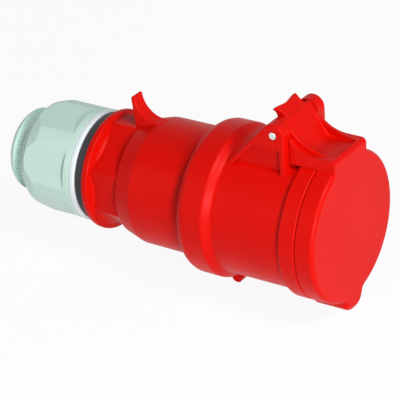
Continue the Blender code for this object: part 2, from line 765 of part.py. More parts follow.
def lid(parts, cutters):
    """Cap with its nose, hinge box, knuckle and thumb lever, moulded in one."""
    edge = rounded_corner((LID_FACE_X - LID_ROUND, LID_R - LID_ROUND), LID_ROUND, 0, 90, 4)
    outline = [(LID_FACE_X, 0)] + edge + [(LID_REAR_X + SEAT, LID_R), (LID_REAR_X, LID_R - SEAT), (LID_REAR_X, 0)]
    cap = turned("lid", outline, parts)
    nose = prism("lid_nose", nose_outline(), LID_REAR_X + FACE_SETBACK, LID_FACE_X - FACE_SETBACK, cutters, "YZ")
    joined(cap, rounded(nose, LID_ROUND / 2), cutters)

    scoop_back = LID_FACE_X - SCOOP_LENGTH
    arm_front = LID_FACE_X - LID_ROUND / 2
    arm = [(arm_front, BOX_LOW_Z), (arm_front, SCOOP_FLOOR_Z)]
    arm += rounded_corner((scoop_back, SCOOP_FLOOR_Z + SCOOP_R), SCOOP_R, 270, 225, 3)
    arm += [(PIN_X + ARM_FRONT, PIN_Z + ARM_TOP)]
    arm += rounded_corner((PIN_X, PIN_Z), EAR_R, 60, 250, 10)
    arm += [(PIN_X, PIN_Z - EAR_R), (EAR_FRONT_X, BOX_LOW_Z + ARM_RISE), (EAR_FRONT_X + SEAT, BOX_LOW_Z)]
    over_rim = [(0, PIN_X - OVER), (RIM_R + SEAT, PIN_X - OVER), (RIM_R + SEAT, LID_REAR_X + SEAT), (0, LID_REAR_X + SEAT)]
    rim_room = turned("lid_rim_room", [(x, radius) for radius, x in over_rim], cutters)
    bridge = prism("lid_arm", arm, -KNUCKLE_HALF_WIDTH, KNUCKLE_HALF_WIDTH, cutters)
    cut(bridge, rim_room, cutters)
    joined(cap, bridge, cutters)

    pin = Vector((PIN_X, PIN_Z))
    bend = pin + Vector(LEVER_BEND)
    tip = pin + Vector(LEVER_TIP)
    back = (tip - bend).normalized()
    under = Vector((back.y, -back.x)) * -LEVER_THICKNESS
    lever = [tuple(pin + Vector(step)) for step in LEVER_FRONT]
    lever += [tuple(bend), tuple(tip), tuple(tip + under)]
    lever += [tuple(pin + Vector(step)) for step in LEVER_REAR]
    blade = prism("thumb_lever", lever, -LEVER_HALF_WIDTH, LEVER_HALF_WIDTH, cutters)
    joined(cap, rounded(blade, 0.28 * LEVER_THICKNESS, 2), cutters)

    cheek_rear = EAR_FRONT_X + SEAT
    sweep_centre = (LID_FACE_X - CHEEK_SWEEP_BACK, CHEEK_TOP_Z + CHEEK_SWEEP_R)
    sweep_end = math.degrees(math.acos((cheek_rear - sweep_centre[0]) / CHEEK_SWEEP_R))
    front_centre = (LID_FACE_X - FACE_SETBACK - CHEEK_FRONT_ROUND, CHEEK_TOP_Z - CHEEK_FRONT_ROUND)
    cheek = [(LID_FACE_X - FACE_SETBACK, BOX_LOW_Z)] + rounded_corner(front_centre, CHEEK_FRONT_ROUND, 0, 90, 4)
    cheek += rounded_corner(sweep_centre, CHEEK_SWEEP_R, 270, 360 - sweep_end, 6)
    cheek += [(cheek_rear, BOX_LOW_Z)]
    for side, word in ((-1, "near"), (1, "far")):
        low, high = sorted((side * CHEEK_INNER_Y, side * CHEEK_OUTER_Y))
        wall = rounded(prism("cheek_" + word, cheek, low, high, cutters), OVER / 2, 2)
        cut(wall, rim_room, cutters)
        joined(cap, wall, cutters)
    lip_front = LID_FACE_X - 2 * FACE_SETBACK
    lip_rear = LID_FACE_X - 2 * CHEEK_FRONT_ROUND
    lip_centre = (lip_front - CHEEK_FRONT_ROUND, front_centre[1] - FACE_SETBACK)
    front_lip = [(lip_front, BOX_LOW_Z)] + rounded_corner(lip_centre, CHEEK_FRONT_ROUND, 0, 90, 4)
    front_lip += [(lip_rear, SCOOP_FLOOR_Z - OVER / 4), (lip_rear, BOX_LOW_Z)]
    joined(cap, prism("box_front", front_lip, -CHEEK_INNER_Y - OVER / 2, CHEEK_INNER_Y + OVER / 2, cutters), cutters)

    skirt_r = LID_R - LID_SKIRT
    ledge_x = LID_REAR_X + LID_SEAL_LENGTH + SEAT
    inside = turned(
        "lid_inside",
        [
            (LID_REAR_X - OVER, 0),
            (LID_REAR_X - OVER, skirt_r),
            (ledge_x, skirt_r),
            (ledge_x, skirt_r - LID_LEDGE_WIDTH),
            (LID_FACE_X - LID_WALL, skirt_r - LID_LEDGE_WIDTH),
            (LID_FACE_X - LID_WALL, 0),
        ],
        cutters,
    )
    cut(cap, inside, cutters)
    pocket = prism(
        "lid_nose_pocket", nose_outline(NOSE_WALL, LID_POCKET_ROOT), LID_REAR_X - OVER, LID_FACE_X - LID_WALL, cutters, "YZ"
    )
    cut(cap, pocket, cutters)
    hole_end = KNUCKLE_HALF_WIDTH + OVER
    pin_hole = rod("knuckle_hole", PIN_HOLE_R, (PIN_X, -hole_end, PIN_Z), (PIN_X, hole_end, PIN_Z), cutters)
    cut(cap, pin_hole, cutters)
    recess_r = SPRING_R + 2 * SPRING_WIRE_R + SEAT
    recess = rod("spring_recess", recess_r, (PIN_X, SPRING_RECESS_Y, PIN_Z), (PIN_X, hole_end, PIN_Z), cutters)
    cut(cap, recess, cutters)
    sweep_room = block(
        "spring_leg_room",
        (PIN_X - EAR_R - OVER, SPRING_RECESS_Y + SPRING_ROOM_STEP, PIN_Z - recess_r + SEAT),
        (PIN_X + SPRING_ROOM_FRONT, hole_end, PIN_Z + EAR_R + OVER),
        cutters,
    )
    cut(cap, sweep_room, cutters)
    leg_groove = block(
        "spring_leg_groove",
        (PIN_X + SPRING_R - 2 * SPRING_WIRE_R, SPRING_RECESS_Y + 2 * SPRING_ROOM_STEP, PIN_Z - SPRING_LEG - SEAT - SPRING_WIRE_R),
        (PIN_X + SPRING_R + 2 * SPRING_WIRE_R, hole_end, PIN_Z),
        cutters,
    )
    cut(cap, leg_groove, cutters)
    return cap


def lid_spring(parts):
    """A torsion spring: one leg presses on the housing, one and a third turns, one leg in the knuckle."""
    first_y = EAR_INNER_Y - SEAT - SPRING_WIRE_R
    last_y = SPRING_RECESS_Y + 2 * SPRING_WIRE_R
    start, end = 135, -360
    corner = math.radians(start)
    leave = Vector((PIN_X + SPRING_R * math.cos(corner), PIN_Z + SPRING_R * math.sin(corner)))
    surface_z = math.sqrt(BODY_R**2 - first_y**2) + 2 * SPRING_WIRE_R
    reach = leave.y - surface_z
    points = [(leave.x - reach, first_y, surface_z)]
    turns = 15
    for step in range(turns + 1):
        angle = math.radians(start + (end - start) * step / turns)
        y = first_y + (last_y - first_y) * step / turns
        points.append((PIN_X + SPRING_R * math.cos(angle), y, PIN_Z + SPRING_R * math.sin(angle)))
    points.append((PIN_X + SPRING_R, last_y, PIN_Z - SPRING_LEG))
    return wire("lid_spring", points, SPRING_WIRE_R, parts)


def seals(parts):
    outer = LID_R - LID_SKIRT - SEAT
    inner = outer - LID_SEAL_WIDTH
    lid_seal = turned(
        "lid_seal",
        [
            (LID_REAR_X, inner),
            (LID_REAR_X + LID_SEAL_LENGTH, inner),
            (LID_REAR_X + LID_SEAL_LENGTH, outer),
            (LID_REAR_X, outer),
        ],
        parts,
    )
    ring_r = GRIP_R - JOINT_SEAL_WIRE_R
    joint_seal = turned(
        "joint_seal",
        rounded_corner((JOINT_SEAL_X, ring_r), JOINT_SEAL_WIRE_R, 0, 270, 3),
        parts,
    )
    front = FLANGE_REAR_X - SEAT
    rear = NUT_FRONT_X + SEAT
    neck_seal = turned(
        "neck_seal",
        [
            (front, NECK_R + SEAT),
            (front, NECK_R + SEAT + NECK_SEAL_WIDTH),
            (rear, NECK_R + SEAT + NECK_SEAL_WIDTH),
            (rear, NECK_R + SEAT),
        ],
        parts,
    )
    return lid_seal, joint_seal, neck_seal


def pin_radius(name):
    return EARTH_PIN_R if name == "PE" else PHASE_PIN_R


def pin_place(index):
    """The earth contact is at six o'clock, over the keyway, and the others follow round."""
    angle = -math.pi / 2 + 2 * math.pi * (index + 1) / len(CONTACTS)
    return PIN_CIRCLE_R * math.cos(angle), PIN_CIRCLE_R * math.sin(angle)


def chamber_radius(name):
    return pin_radius(name) + PIN_PLAY / 2 + BARREL_WALL + SEAT


def contact_carrier(parts, cutters):
    carrier = turned(
        "contact_carrier",
        [
            (0, 0),
            (0, CARRIER_R - CARRIER_ROUND),
            (-CARRIER_ROUND, CARRIER_R),
            (CARRIER_FLANGE_X, CARRIER_R),
            (CARRIER_FLANGE_X, CARRIER_FLANGE_R),
            (CARRIER_REAR_X, CARRIER_FLANGE_R),
            (CARRIER_REAR_X, 0),
        ],
        parts,
    )
    for index, name in enumerate(CONTACTS):
        y, z = pin_place(index)
        entry = rod("entry_" + name, pin_radius(name) + PIN_PLAY, (-2 * ENTRY_LENGTH, y, z), (OVER, y, z), cutters)
        cut(carrier, entry, cutters)
        start = (CARRIER_REAR_X - OVER, y, z)
        chamber = rod("chamber_" + name, chamber_radius(name), start, (-ENTRY_LENGTH, y, z), cutters)
        cut(carrier, chamber, cutters)
    return carrier


def contact(index, name, parts, cutters):
    """A slotted brass tube for the pin, with a clamping barrel behind it."""
    y, z = pin_place(index)
    bore = pin_radius(name) + PIN_PLAY / 2
    tube_r = bore + TUBE_WALL
    barrel_r = bore + BARREL_WALL
    front = -ENTRY_LENGTH - SEAT
    barrel_front = BARREL_REAR_X + BARREL_LENGTH
    wall_x = barrel_front - TUBE_PLUG_SETBACK
    tube = turned(
        "contact_" + name,
        [
            (front, bore),
            (front, tube_r),
            (barrel_front, tube_r),
            (barrel_front - TUBE_SHOULDER, barrel_r),
            (BARREL_REAR_X, barrel_r),
            (BARREL_REAR_X, bore),
            (wall_x - TUBE_PLUG_LENGTH, bore),
            (wall_x - TUBE_PLUG_LENGTH, 0),
            (wall_x, 0),
            (wall_x, bore),
        ],
        parts,
        SMALL_FACETS,
    )
    tube.data.transform(Matrix.Translation((0, y, z)))
    half = TUBE_SLOT / 2
    reach = tube_r + OVER
    rear = front - TUBE_SLOT_LENGTH
    flat = block("slot_flat_" + name, (rear, y - reach, z - half), (front + OVER, y + reach, z + half), cutters)
    upright = block("slot_upright_" + name, (rear, y - half, z - reach), (front + OVER, y + half, z + reach), cutters)
    cut(tube, flat, cutters)
    cut(tube, upright, cutters)
    out = Vector((0, y, z)).normalized()
    centre = Vector((BARREL_REAR_X + SCREW_SETBACK, y, z))
    hole = rod("thread_" + name, SCREW_R + SEAT, centre, centre + out * (barrel_r + OVER), cutters)
    cut(tube, hole, cutters)

    middle = tube_r + SEAT + CLIP_WIRE_R
    sides = 10
    points = []
    for step in range(sides + 1):
        angle = CLIP_GAP + 2 * (math.pi - CLIP_GAP) * step / sides
        points.append((-CLIP_DEPTH, y + middle * math.cos(angle), z + middle * math.sin(angle)))
    wire("clip_" + name, points, CLIP_WIRE_R, parts)

    tip = centre + out * (barrel_r - BARREL_WALL + SEAT)
    head = tip + out * SCREW_LENGTH
    screw = rod("screw_" + name, SCREW_R, tip, head, parts, 12)
    slot = block(
        "screw_slot_" + name,
        (-SCREW_R - OVER, -SCREW_SLOT / 2, -SCREW_SLOT),
        (SCREW_R + OVER, SCREW_SLOT / 2, SCREW_SLOT),
        cutters,
    )
    turn = out.to_track_quat("Z", "Y").to_matrix().to_4x4()
    slot.data.transform(Matrix.Translation(head) @ turn)
    cut(screw, slot, cutters)


def gland_nut(parts, cutters):
    """Nut with six flats: a round collar in front, a groove, a ring, a recess and a lip behind."""
    flats_rear = NUT_FRONT_X - NUT_COLLAR_LENGTH - NUT_FLATS_LENGTH
    groove_x = flats_rear - NUT_CHAMFER_LENGTH
    ring_x = groove_x - NUT_RING_LENGTH
    recess_x = ring_x - NUT_RECESS_LENGTH
    rear = recess_x - NUT_LIP_LENGTH
    bore = NECK_R + NUT_BORE_PLAY
    bore_end = NECK_REAR_X - SEAT
    finger_end = bore_end - CAGE_FINGER_LENGTH
    ring_r = NUT_R - NUT_RING_DROP
    recess_r = NUT_R - NUT_RECESS_DROP
    lip_r = NUT_R - NUT_LIP_DROP
    groove_r = NUT_R - NUT_CHAMFER_DROP
    outline = [
        (NUT_FRONT_X, bore),
        (NUT_FRONT_X, NUT_R - NUT_ROUND),
        (NUT_FRONT_X - NUT_ROUND, NUT_R),
        (flats_rear, NUT_R),
        (groove_x, groove_r),
        (groove_x - NUT_GROOVE_STEP, ring_r - NUT_GROOVE_STEP),
        (groove_x - NUT_GROOVE_LENGTH, ring_r),
        (ring_x, ring_r - NUT_RING_SLOPE),
        (ring_x - NUT_RECESS_SLOPE, recess_r),
        (recess_x, recess_r),
        (recess_x, lip_r),
    ]
    outline += [(recess_x - back, lip_r - drop) for back, drop in NUT_LIP_ROUND]
    outline += [(rear, NUT_MOUTH_R), (finger_end, NUT_MOUTH_R), (bore_end, NECK_BORE_R), (bore_end, bore)]
    nut = turned("gland_nut", outline, parts)
    sixth = math.cos(math.pi / 6)
    flats_front = NUT_FRONT_X - NUT_COLLAR_LENGTH
    flats = turned(
        "nut_flats",
        [
            (NUT_FRONT_X + OVER, 0),
            (NUT_FRONT_X + OVER, 2 * NUT_R),
            (flats_front, 2 * NUT_R),
            (flats_front, NUT_APOTHEM / sixth),
            (rear - OVER, NUT_APOTHEM / sixth),
            (rear - OVER, 0),
        ],
        cutters,
        6,
        -NUT_TURN,
    )
    combine(nut, flats, "INTERSECT", cutters)
    return nut


def clamp_cage(parts, cutters):
    """A ring in the neck with fingers that the nut's cone presses on the cable."""
    outer = NECK_BORE_R - SEAT
    inner = outer - CAGE_WALL
    front = CAGE_STOP_X - SEAT
    root = NECK_REAR_X
    end = root - CAGE_FINGER_LENGTH + CAGE_FINGER_END
    slope = (NECK_BORE_R - NUT_MOUTH_R) / CAGE_FINGER_LENGTH
    drop = slope * (root - end)
    cage = turned(
        "clamp_cage",
        [(front, inner), (front, outer), (root, outer - SEAT), (end, outer - drop), (end, inner - drop), (root, inner)],
        parts,
        GLAND_INNER_FACETS,
    )
    for index in range(CAGE_FINGERS // 2):
        slit = block(
            f"cage_slit_{index + 1}",
            (end - OVER, -outer - OVER, -CAGE_FINGER_GAP / 2),
            (root + CAGE_SLIT_RUN, outer + OVER, CAGE_FINGER_GAP / 2),
            cutters,
        )
        cut(cage, turned_about_x(slit, math.pi * (index + 0.5) * 2 / CAGE_FINGERS), cutters)
    return cage


def cable_seal(parts):
    outer = NECK_BORE_R - 2 * SEAT - CAGE_WALL
    inner = outer - CABLE_SEAL_WALL
    front = CAGE_STOP_X - SEAT
    return turned(
        "cable_seal",
        [
            (front, inner + CABLE_SEAL_EDGE),
            (front, outer - CABLE_SEAL_EDGE),
            (front - CABLE_SEAL_EDGE, outer),
            (NECK_REAR_X + CABLE_SEAL_EDGE, outer),
            (NECK_REAR_X, outer - CABLE_SEAL_EDGE),
            (NECK_REAR_X, inner + CABLE_SEAL_EDGE),
            (NECK_REAR_X + CABLE_SEAL_EDGE, inner),
            (front - CABLE_SEAL_EDGE, inner),
        ],
        parts,
        GLAND_INNER_FACETS,
    )


def dress(parts):
    """One material for each piece."""
    red = ("C8140C", 0.38, 0.0)
    brass = ("C9A14A", 0.30, 1.0)
    steel = ("D8D8D4", 0.28, 1.0)
    black = ("17181A", 0.60, 0.0)
    kinds = {
        "front_housing": red,
        "handle": red,
        "lid": red,
        "gland_nut": ("B9D5CB", 0.45, 0.0),
        "clamp_cage": ("B9D5CB", 0.45, 0.0),
        "contact_carrier": ("4A4D50", 0.50, 0.0),
        "lid_seal": black,
        "joint_seal": black,
        "neck_seal": black,
        "cable_seal": black,
    }
    for obj in parts.objects:
        start = obj.name.split("_")[0]
        colour, roughness, metallic = kinds.get(obj.name, brass if start == "contact" else steel)
        obj.data.materials.clear()
        obj.data.materials.append(finish_material(obj.name, colour, roughness, metallic))


def hang(names, pivot_name, place, parts):
    """Puts the origin of moving pieces on their joint's axis, under an empty there."""
    pivot = bpy.data.objects.new(pivot_name, None)
    pivot.location = place
    pivot.empty_display_size = 0.01
    parts.objects.link(pivot)
    for name in names:
        obj = bpy.data.objects[name]
        obj.data.transform(Matrix.Translation(-Vector(place)))
        obj.parent = pivot


def main():
    clear_scene()
    parts = collection("industrial_cable_socket")
    cutters = collection("cutters", hidden=True)
    front_housing(parts, cutters)
    handle(parts, cutters)
    lid(parts, cutters)
    pin_end = EAR_OUTER_Y + PIN_STAND_OUT
    rod("hinge_pin", PIN_R, (PIN_X, -pin_end, PIN_Z), (PIN_X, pin_end, PIN_Z), parts)
    lid_spring(parts)
    seals(parts)
    contact_carrier(parts, cutters)
    for index, name in enumerate(CONTACTS):
        contact(index, name, parts, cutters)
    gland_nut(parts, cutters)
    clamp_cage(parts, cutters)
    cable_seal(parts)
    dress(parts)
    hang(("lid", "lid_seal"), "lid_hinge", (PIN_X, 0, PIN_Z), parts)
    hang(("gland_nut",), "nut_axis", (NUT_FRONT_X, 0, 0), parts)
    for obj in parts.objects:
        if obj.type == "MESH":
            obj.data.shade_smooth()
            obj.data.set_sharp_from_angle(angle=math.radians(35))


main()
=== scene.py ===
# Five-pole industrial cable socket, seen from its lid end.
# Metres, in the part's own frame: X along the socket towards the plug, Z up through the hinge.

import math

import bmesh
import bpy
from mathutils import Matrix, Vector


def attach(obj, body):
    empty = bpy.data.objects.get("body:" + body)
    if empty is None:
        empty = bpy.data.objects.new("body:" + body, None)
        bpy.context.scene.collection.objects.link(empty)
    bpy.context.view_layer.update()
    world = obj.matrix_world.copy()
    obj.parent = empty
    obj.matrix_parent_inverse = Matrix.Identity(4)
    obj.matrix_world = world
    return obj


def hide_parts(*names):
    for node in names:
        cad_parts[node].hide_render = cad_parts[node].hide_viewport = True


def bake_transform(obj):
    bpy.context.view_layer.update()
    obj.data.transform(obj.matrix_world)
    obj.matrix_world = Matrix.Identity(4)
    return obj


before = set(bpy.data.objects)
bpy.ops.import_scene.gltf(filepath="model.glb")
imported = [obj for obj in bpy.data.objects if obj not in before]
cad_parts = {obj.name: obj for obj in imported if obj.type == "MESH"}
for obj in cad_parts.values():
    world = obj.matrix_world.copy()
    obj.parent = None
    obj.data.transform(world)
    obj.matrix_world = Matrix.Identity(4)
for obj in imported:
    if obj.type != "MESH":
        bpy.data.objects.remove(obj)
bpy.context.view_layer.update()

# The camera
# It stands well back on the lid side, 35 degrees round from square on and 28 degrees up, with a long lens.
# Its place is measured from a spot just behind the lid's face.
VIEW_TURN = math.radians(34.844)
VIEW_RISE = math.radians(27.772)
VIEW_ROLL = math.radians(-3.647)
VIEW_DISTANCE = 1.2
VIEW_SPOT_X = 0.0140
LOOK_RIGHT = -0.0757
LOOK_UP = 0.0136

back = Vector(
    (
        math.sin(VIEW_TURN) * math.cos(VIEW_RISE),
        -math.cos(VIEW_TURN) * math.cos(VIEW_RISE),
        math.sin(VIEW_RISE),
    )
)
level = Vector((math.cos(VIEW_TURN), math.sin(VIEW_TURN), 0))
upright = back.cross(level)
view_right = level * math.cos(VIEW_ROLL) + upright * math.sin(VIEW_ROLL)
view_up = upright * math.cos(VIEW_ROLL) - level * math.sin(VIEW_ROLL)
camera = bpy.data.objects.new("photo_camera", bpy.data.cameras.new("photo_camera"))
bpy.context.scene.collection.objects.link(camera)
stand = Vector((VIEW_SPOT_X, 0, 0)) + view_right * LOOK_RIGHT + view_up * LOOK_UP + back * VIEW_DISTANCE
turn = Matrix((view_right, view_up, back)).transposed().to_4x4()
camera.matrix_world = Matrix.Translation(stand) @ turn
camera.data.sensor_width = 36
camera.data.lens = 216
camera.data.clip_end = 20
bpy.context.scene.camera = camera

# The front housing
# Shroud, rim and collar, moulded in one in red polyamide, a tough nylon. The rim carries a round nose
# for the plug's key, two ears stand on the shroud for the lid's pin, and the handle's bayonet goes in
# from behind.
RIM_FRONT_X = 0.0042
RIM_REAR_X = -0.0056
RIM_R = 0.0400
RIM_EDGE = 0.0018
RIM_MOUTH_EDGE = 0.0008
BODY_R = 0.0374
SHOULDER_X = -0.0452
COLLAR_FRONT_X = -0.0507
COLLAR_ROUND_X = -0.0600
COLLAR_REAR_X = -0.0660
COLLAR_R = 0.0409
COLLAR_REAR_R = 0.0370
COLLAR_MOUTH_R = 0.0364
SLOT_FLOOR_X = -0.0418
SPIGOT_BORE_R = 0.0346
KEY_RIB_HALF_WIDTH = 0.0067
KEY_RIB_R = 0.0389
KEY_RIB_TOP_Z = -0.0329
KEY_RIB_EDGE = 0.0008
NOSE_HALF_FLAT = 0.0013
NOSE_R = 0.0075
NOSE_LOW_Z = -0.0469
NOSE_FILLET = 0.0040
NOSE_WALL = 0.0026
GUARD_FRONT_X = -0.0546
GUARD_REAR_X = -0.0611
GUARD_TOP_Z = -0.0384
GUARD_LOW_Z = -0.0434
GUARD_EDGE = 0.0008
LATCH_HALF_WIDTH = 0.0080

# How far a cutter runs past the surface that it opens, and a joined piece into its neighbour
OVER = 0.0020


def arc(centre, radius, start, end, steps):
    """Points on an arc between two angles in degrees."""
    found = []
    for step in range(steps + 1):
        angle = math.radians(start + (end - start) * step / steps)
        found.append((centre[0] + radius * math.cos(angle), centre[1] + radius * math.sin(angle)))
    return found


def moulded_outline(corners, steps=5):
    """Outline points from corners; a corner's third number is the radius it is rounded to."""
    found = []
    for i, corner in enumerate(corners):
        here = Vector(corner[:2])
        if len(corner) == 2:
            found.append(tuple(here))
            continue
        before = (Vector(corners[i - 1][:2]) - here).normalized()
        after = (Vector(corners[(i + 1) % len(corners)][:2]) - here).normalized()
        half = before.angle(after) / 2
        centre = here + (before + after).normalized() * corner[2] / math.sin(half)
        first = here + before * corner[2] / math.tan(half) - centre
        last = here + after * corner[2] / math.tan(half) - centre
        start = math.degrees(math.atan2(first.y, first.x))
        sweep = (math.degrees(math.atan2(last.y, last.x)) - start + 180) % 360 - 180
        found += arc(centre, corner[2], start, start + sweep, steps)
    return found


def mesh_object(name, shape):
    """A new object with this shape as its mesh, facing outwards."""
    bmesh.ops.remove_doubles(shape, verts=shape.verts, dist=1e-7)
    bmesh.ops.recalc_face_normals(shape, faces=shape.faces)
    mesh = bpy.data.meshes.new(name)
    shape.to_mesh(mesh)
    shape.free()
    obj = bpy.data.objects.new(name, mesh)
    bpy.context.scene.collection.objects.link(obj)
    return obj


def turned(name, outline, facets=144, pitch=0.004):
    """A closed outline of (x, radius) points turned about the socket's axis, cut into narrow rings."""
    shape = bmesh.new()
    rings = []
    for i, (x, radius) in enumerate(outline):
        last = Vector(outline[i - 1])
        here = Vector((x, radius))
        pieces = max(1, math.ceil((here - last).length / pitch)) if last.y > 0 and radius > 0 else 1
        for piece in range(pieces):
            rings.append(last.lerp(here, (piece + 1) / pieces))
    loops = []
    for ring in rings:
        if ring.y == 0:
            loops.append([shape.verts.new((ring.x, 0, 0))] * facets)
            continue
        angles = [2 * math.pi * i / facets for i in range(facets)]
        loops.append([shape.verts.new((ring.x, -ring.y * math.sin(a), ring.y * math.cos(a))) for a in angles])
    for i, loop in enumerate(loops):
        last = loops[i - 1]
        for j in range(facets):
            corners = [last[j - 1], last[j], loop[j], loop[j - 1]]
            corners = [v for k, v in enumerate(corners) if v not in corners[:k]]
            if len(corners) > 2:
                shape.faces.new(corners)
    return mesh_object(name, shape)


def slab(name, outline, near, far, across="Y"):
    """An outline given thickness: its points are (x, z) when it lies across Y, and (y, z) across X."""
    shape = bmesh.new()
    ends = []
    for depth in (near, far):
        if across == "Y":
            ends.append([shape.verts.new((u, depth, v)) for u, v in outline])
        else:
            ends.append([shape.verts.new((depth, u, v)) for u, v in outline])
    shape.faces.new(ends[0])
    shape.faces.new(ends[1])
    for i in range(len(outline)):
        shape.faces.new((ends[0][i - 1], ends[0][i], ends[1][i], ends[1][i - 1]))
    return mesh_object(name, shape)


def box_outline(rear, front, low, top):
    """A rectangle's corners, seen from the side."""
    return [(rear, top), (rear, low), (front, low), (front, top)]


def settled(obj):
    """The modifiers' result as the object's own mesh."""
    graph = bpy.context.evaluated_depsgraph_get()
    mesh = bpy.data.meshes.new_from_object(obj.evaluated_get(graph))
    obj.modifiers.clear()
    obj.data = mesh
    return obj


def edged(obj, width, segments=3, angle=35):
    """Rounds each sharp edge, as a mould's edges are."""
    bevel = obj.modifiers.new("Edge", "BEVEL")
    bevel.width = width
    bevel.segments = segments
    bevel.angle_limit = math.radians(angle)
    bevel.use_clamp_overlap = True
    return settled(obj)


def merged(obj, other, operation="UNION"):
    """Joins another solid to this one, or cuts it away."""
    boolean = obj.modifiers.new("Merge", "BOOLEAN")
    boolean.operation = operation
    boolean.object = other
    boolean.solver = "MANIFOLD"
    settled(obj)
    bpy.data.objects.remove(other, do_unlink=True)
    return obj


def key_outline(radius, inset):
    """The rim seen end on: a circle with a round nose below, drawn in by the inset all round."""
    tip = Vector((NOSE_HALF_FLAT, NOSE_LOW_Z + NOSE_R))
    reach = radius + NOSE_FILLET
    along = (reach**2 - (NOSE_R + NOSE_FILLET) ** 2 + tip.length_squared) / (2 * tip.length)
    out = math.sqrt(reach**2 - along**2)
    unit = tip.normalized()
    hollow = unit * along + Vector((-unit.y, unit.x)) * out
    start = math.degrees(math.atan2(hollow.y, hollow.x))
    leave = math.degrees(math.atan2(hollow.y - tip.y, hollow.x - tip.x))
    corner = arc(tip, NOSE_R - inset, -90, leave, 10)
    fillet = arc(hollow, NOSE_FILLET + inset, leave + 180, start + 180, 7)[1:]
    right = corner + fillet + arc((0, 0), radius - inset, start, 90, 82)[1:]
    return right + [(-y, z) for y, z in reversed(right[:-1])]


def nose_hollow(top):
    """The hollow inside the nose, seen end on, from its top down."""
    low = arc((NOSE_HALF_FLAT, NOSE_LOW_Z + NOSE_R), NOSE_R - NOSE_WALL, 0, -90, 8)
    right = [(low[0][0], top)] + low
    return right + [(-y, z) for y, z in reversed(right)]


def keyed_solid(name, radius, stations):
    """The rim's outline carried along X; a station is a place and how far the outline is drawn in there."""
    shape = bmesh.new()
    rings = [[shape.verts.new((x, y, z)) for y, z in key_outline(radius, inset)] for x, inset in stations]
    shape.faces.new(rings[0])
    shape.faces.new(rings[-1])
    for last, ring in zip(rings, rings[1:]):
        for i in range(len(ring)):
            shape.faces.new((last[i - 1], last[i], ring[i], ring[i - 1]))
    return mesh_object(name, shape)


def edge_stations(rear, front, rear_round, front_round, steps=6):
    """Stations for a keyed solid with its rear and front edges rounded."""
    quarter = [math.pi / 2 * step / steps for step in range(steps + 1)]
    rear_part = [(rear + rear_round * (1 - math.cos(a)), rear_round * (1 - math.sin(a))) for a in quarter]
    front_part = [(front - front_round * (1 - math.cos(a)), front_round * (1 - math.sin(a))) for a in quarter]
    return rear_part + front_part[::-1]


shoulder = []
for step in range(13):
    share = step / 12
    ease = share * share * (3 - 2 * share)
    shoulder.append((SHOULDER_X - share * (SHOULDER_X - COLLAR_FRONT_X), BODY_R + ease * (COLLAR_R - BODY_R)))
collar_round = []
for step in range(1, 11):
    angle = math.pi / 2 * step / 10
    collar_round.append(
        (
            COLLAR_ROUND_X - (COLLAR_ROUND_X - COLLAR_REAR_X) * math.sin(angle),
            COLLAR_REAR_R + (COLLAR_R - COLLAR_REAR_R) * math.cos(angle),
        )
    )
housing = turned(
    "moulded_front_housing",
    [(RIM_REAR_X + OVER, 0), (RIM_REAR_X + OVER, BODY_R)]
    + shoulder
    + collar_round
    + [(COLLAR_REAR_X, SPIGOT_BORE_R), (COLLAR_REAR_X, 0)],
)
rim = keyed_solid("rim", RIM_R, edge_stations(RIM_REAR_X, RIM_FRONT_X, RIM_EDGE, RIM_MOUTH_EDGE))
merged(housing, rim)
key_rib = slab(
    "key_rib",
    moulded_outline(
        [
            (-KEY_RIB_HALF_WIDTH, KEY_RIB_TOP_Z),
            (-KEY_RIB_HALF_WIDTH, -KEY_RIB_R, KEY_RIB_EDGE),
            (KEY_RIB_HALF_WIDTH, -KEY_RIB_R, KEY_RIB_EDGE),
            (KEY_RIB_HALF_WIDTH, KEY_RIB_TOP_Z),
        ]
    ),
    SLOT_FLOOR_X,
    RIM_REAR_X + OVER,
    across="X",
)
merged(housing, key_rib)

# A raised pad under the collar, behind the handle's latch, keeps the latch from being pressed by chance.
guard_outline = box_outline(GUARD_REAR_X, GUARD_FRONT_X, GUARD_LOW_Z, GUARD_TOP_Z)
latch_guard = slab("latch_guard", guard_outline, -LATCH_HALF_WIDTH, LATCH_HALF_WIDTH)
merged(housing, edged(latch_guard, GUARD_EDGE))

# The hinge ears
# Two ears of the same moulding, each a plate with two legs in the shape of an A standing proud of it,
# and a round head about the pin. The outer edges are rounded, and the side towards the lid is left sharp.
PIN_X = -0.0174
PIN_Z = 0.0527
EAR_R = 0.0062
EAR_INNER_Y = 0.0130
EAR_OUTER_Y = 0.0203
EAR_FOOT = (-0.0459, 0.0316)
EAR_ROOT_Z = 0.0300
EAR_LEG = 0.0028
EAR_EDGE = 0.0012
EAR_ROUNDED_PART = 0.0030
POCKET_TOP_Z = 0.0457
POCKET_LOW_Z = 0.0280
POCKET_DEPTH = 0.0028
POCKET_DRAFT = 0.0004

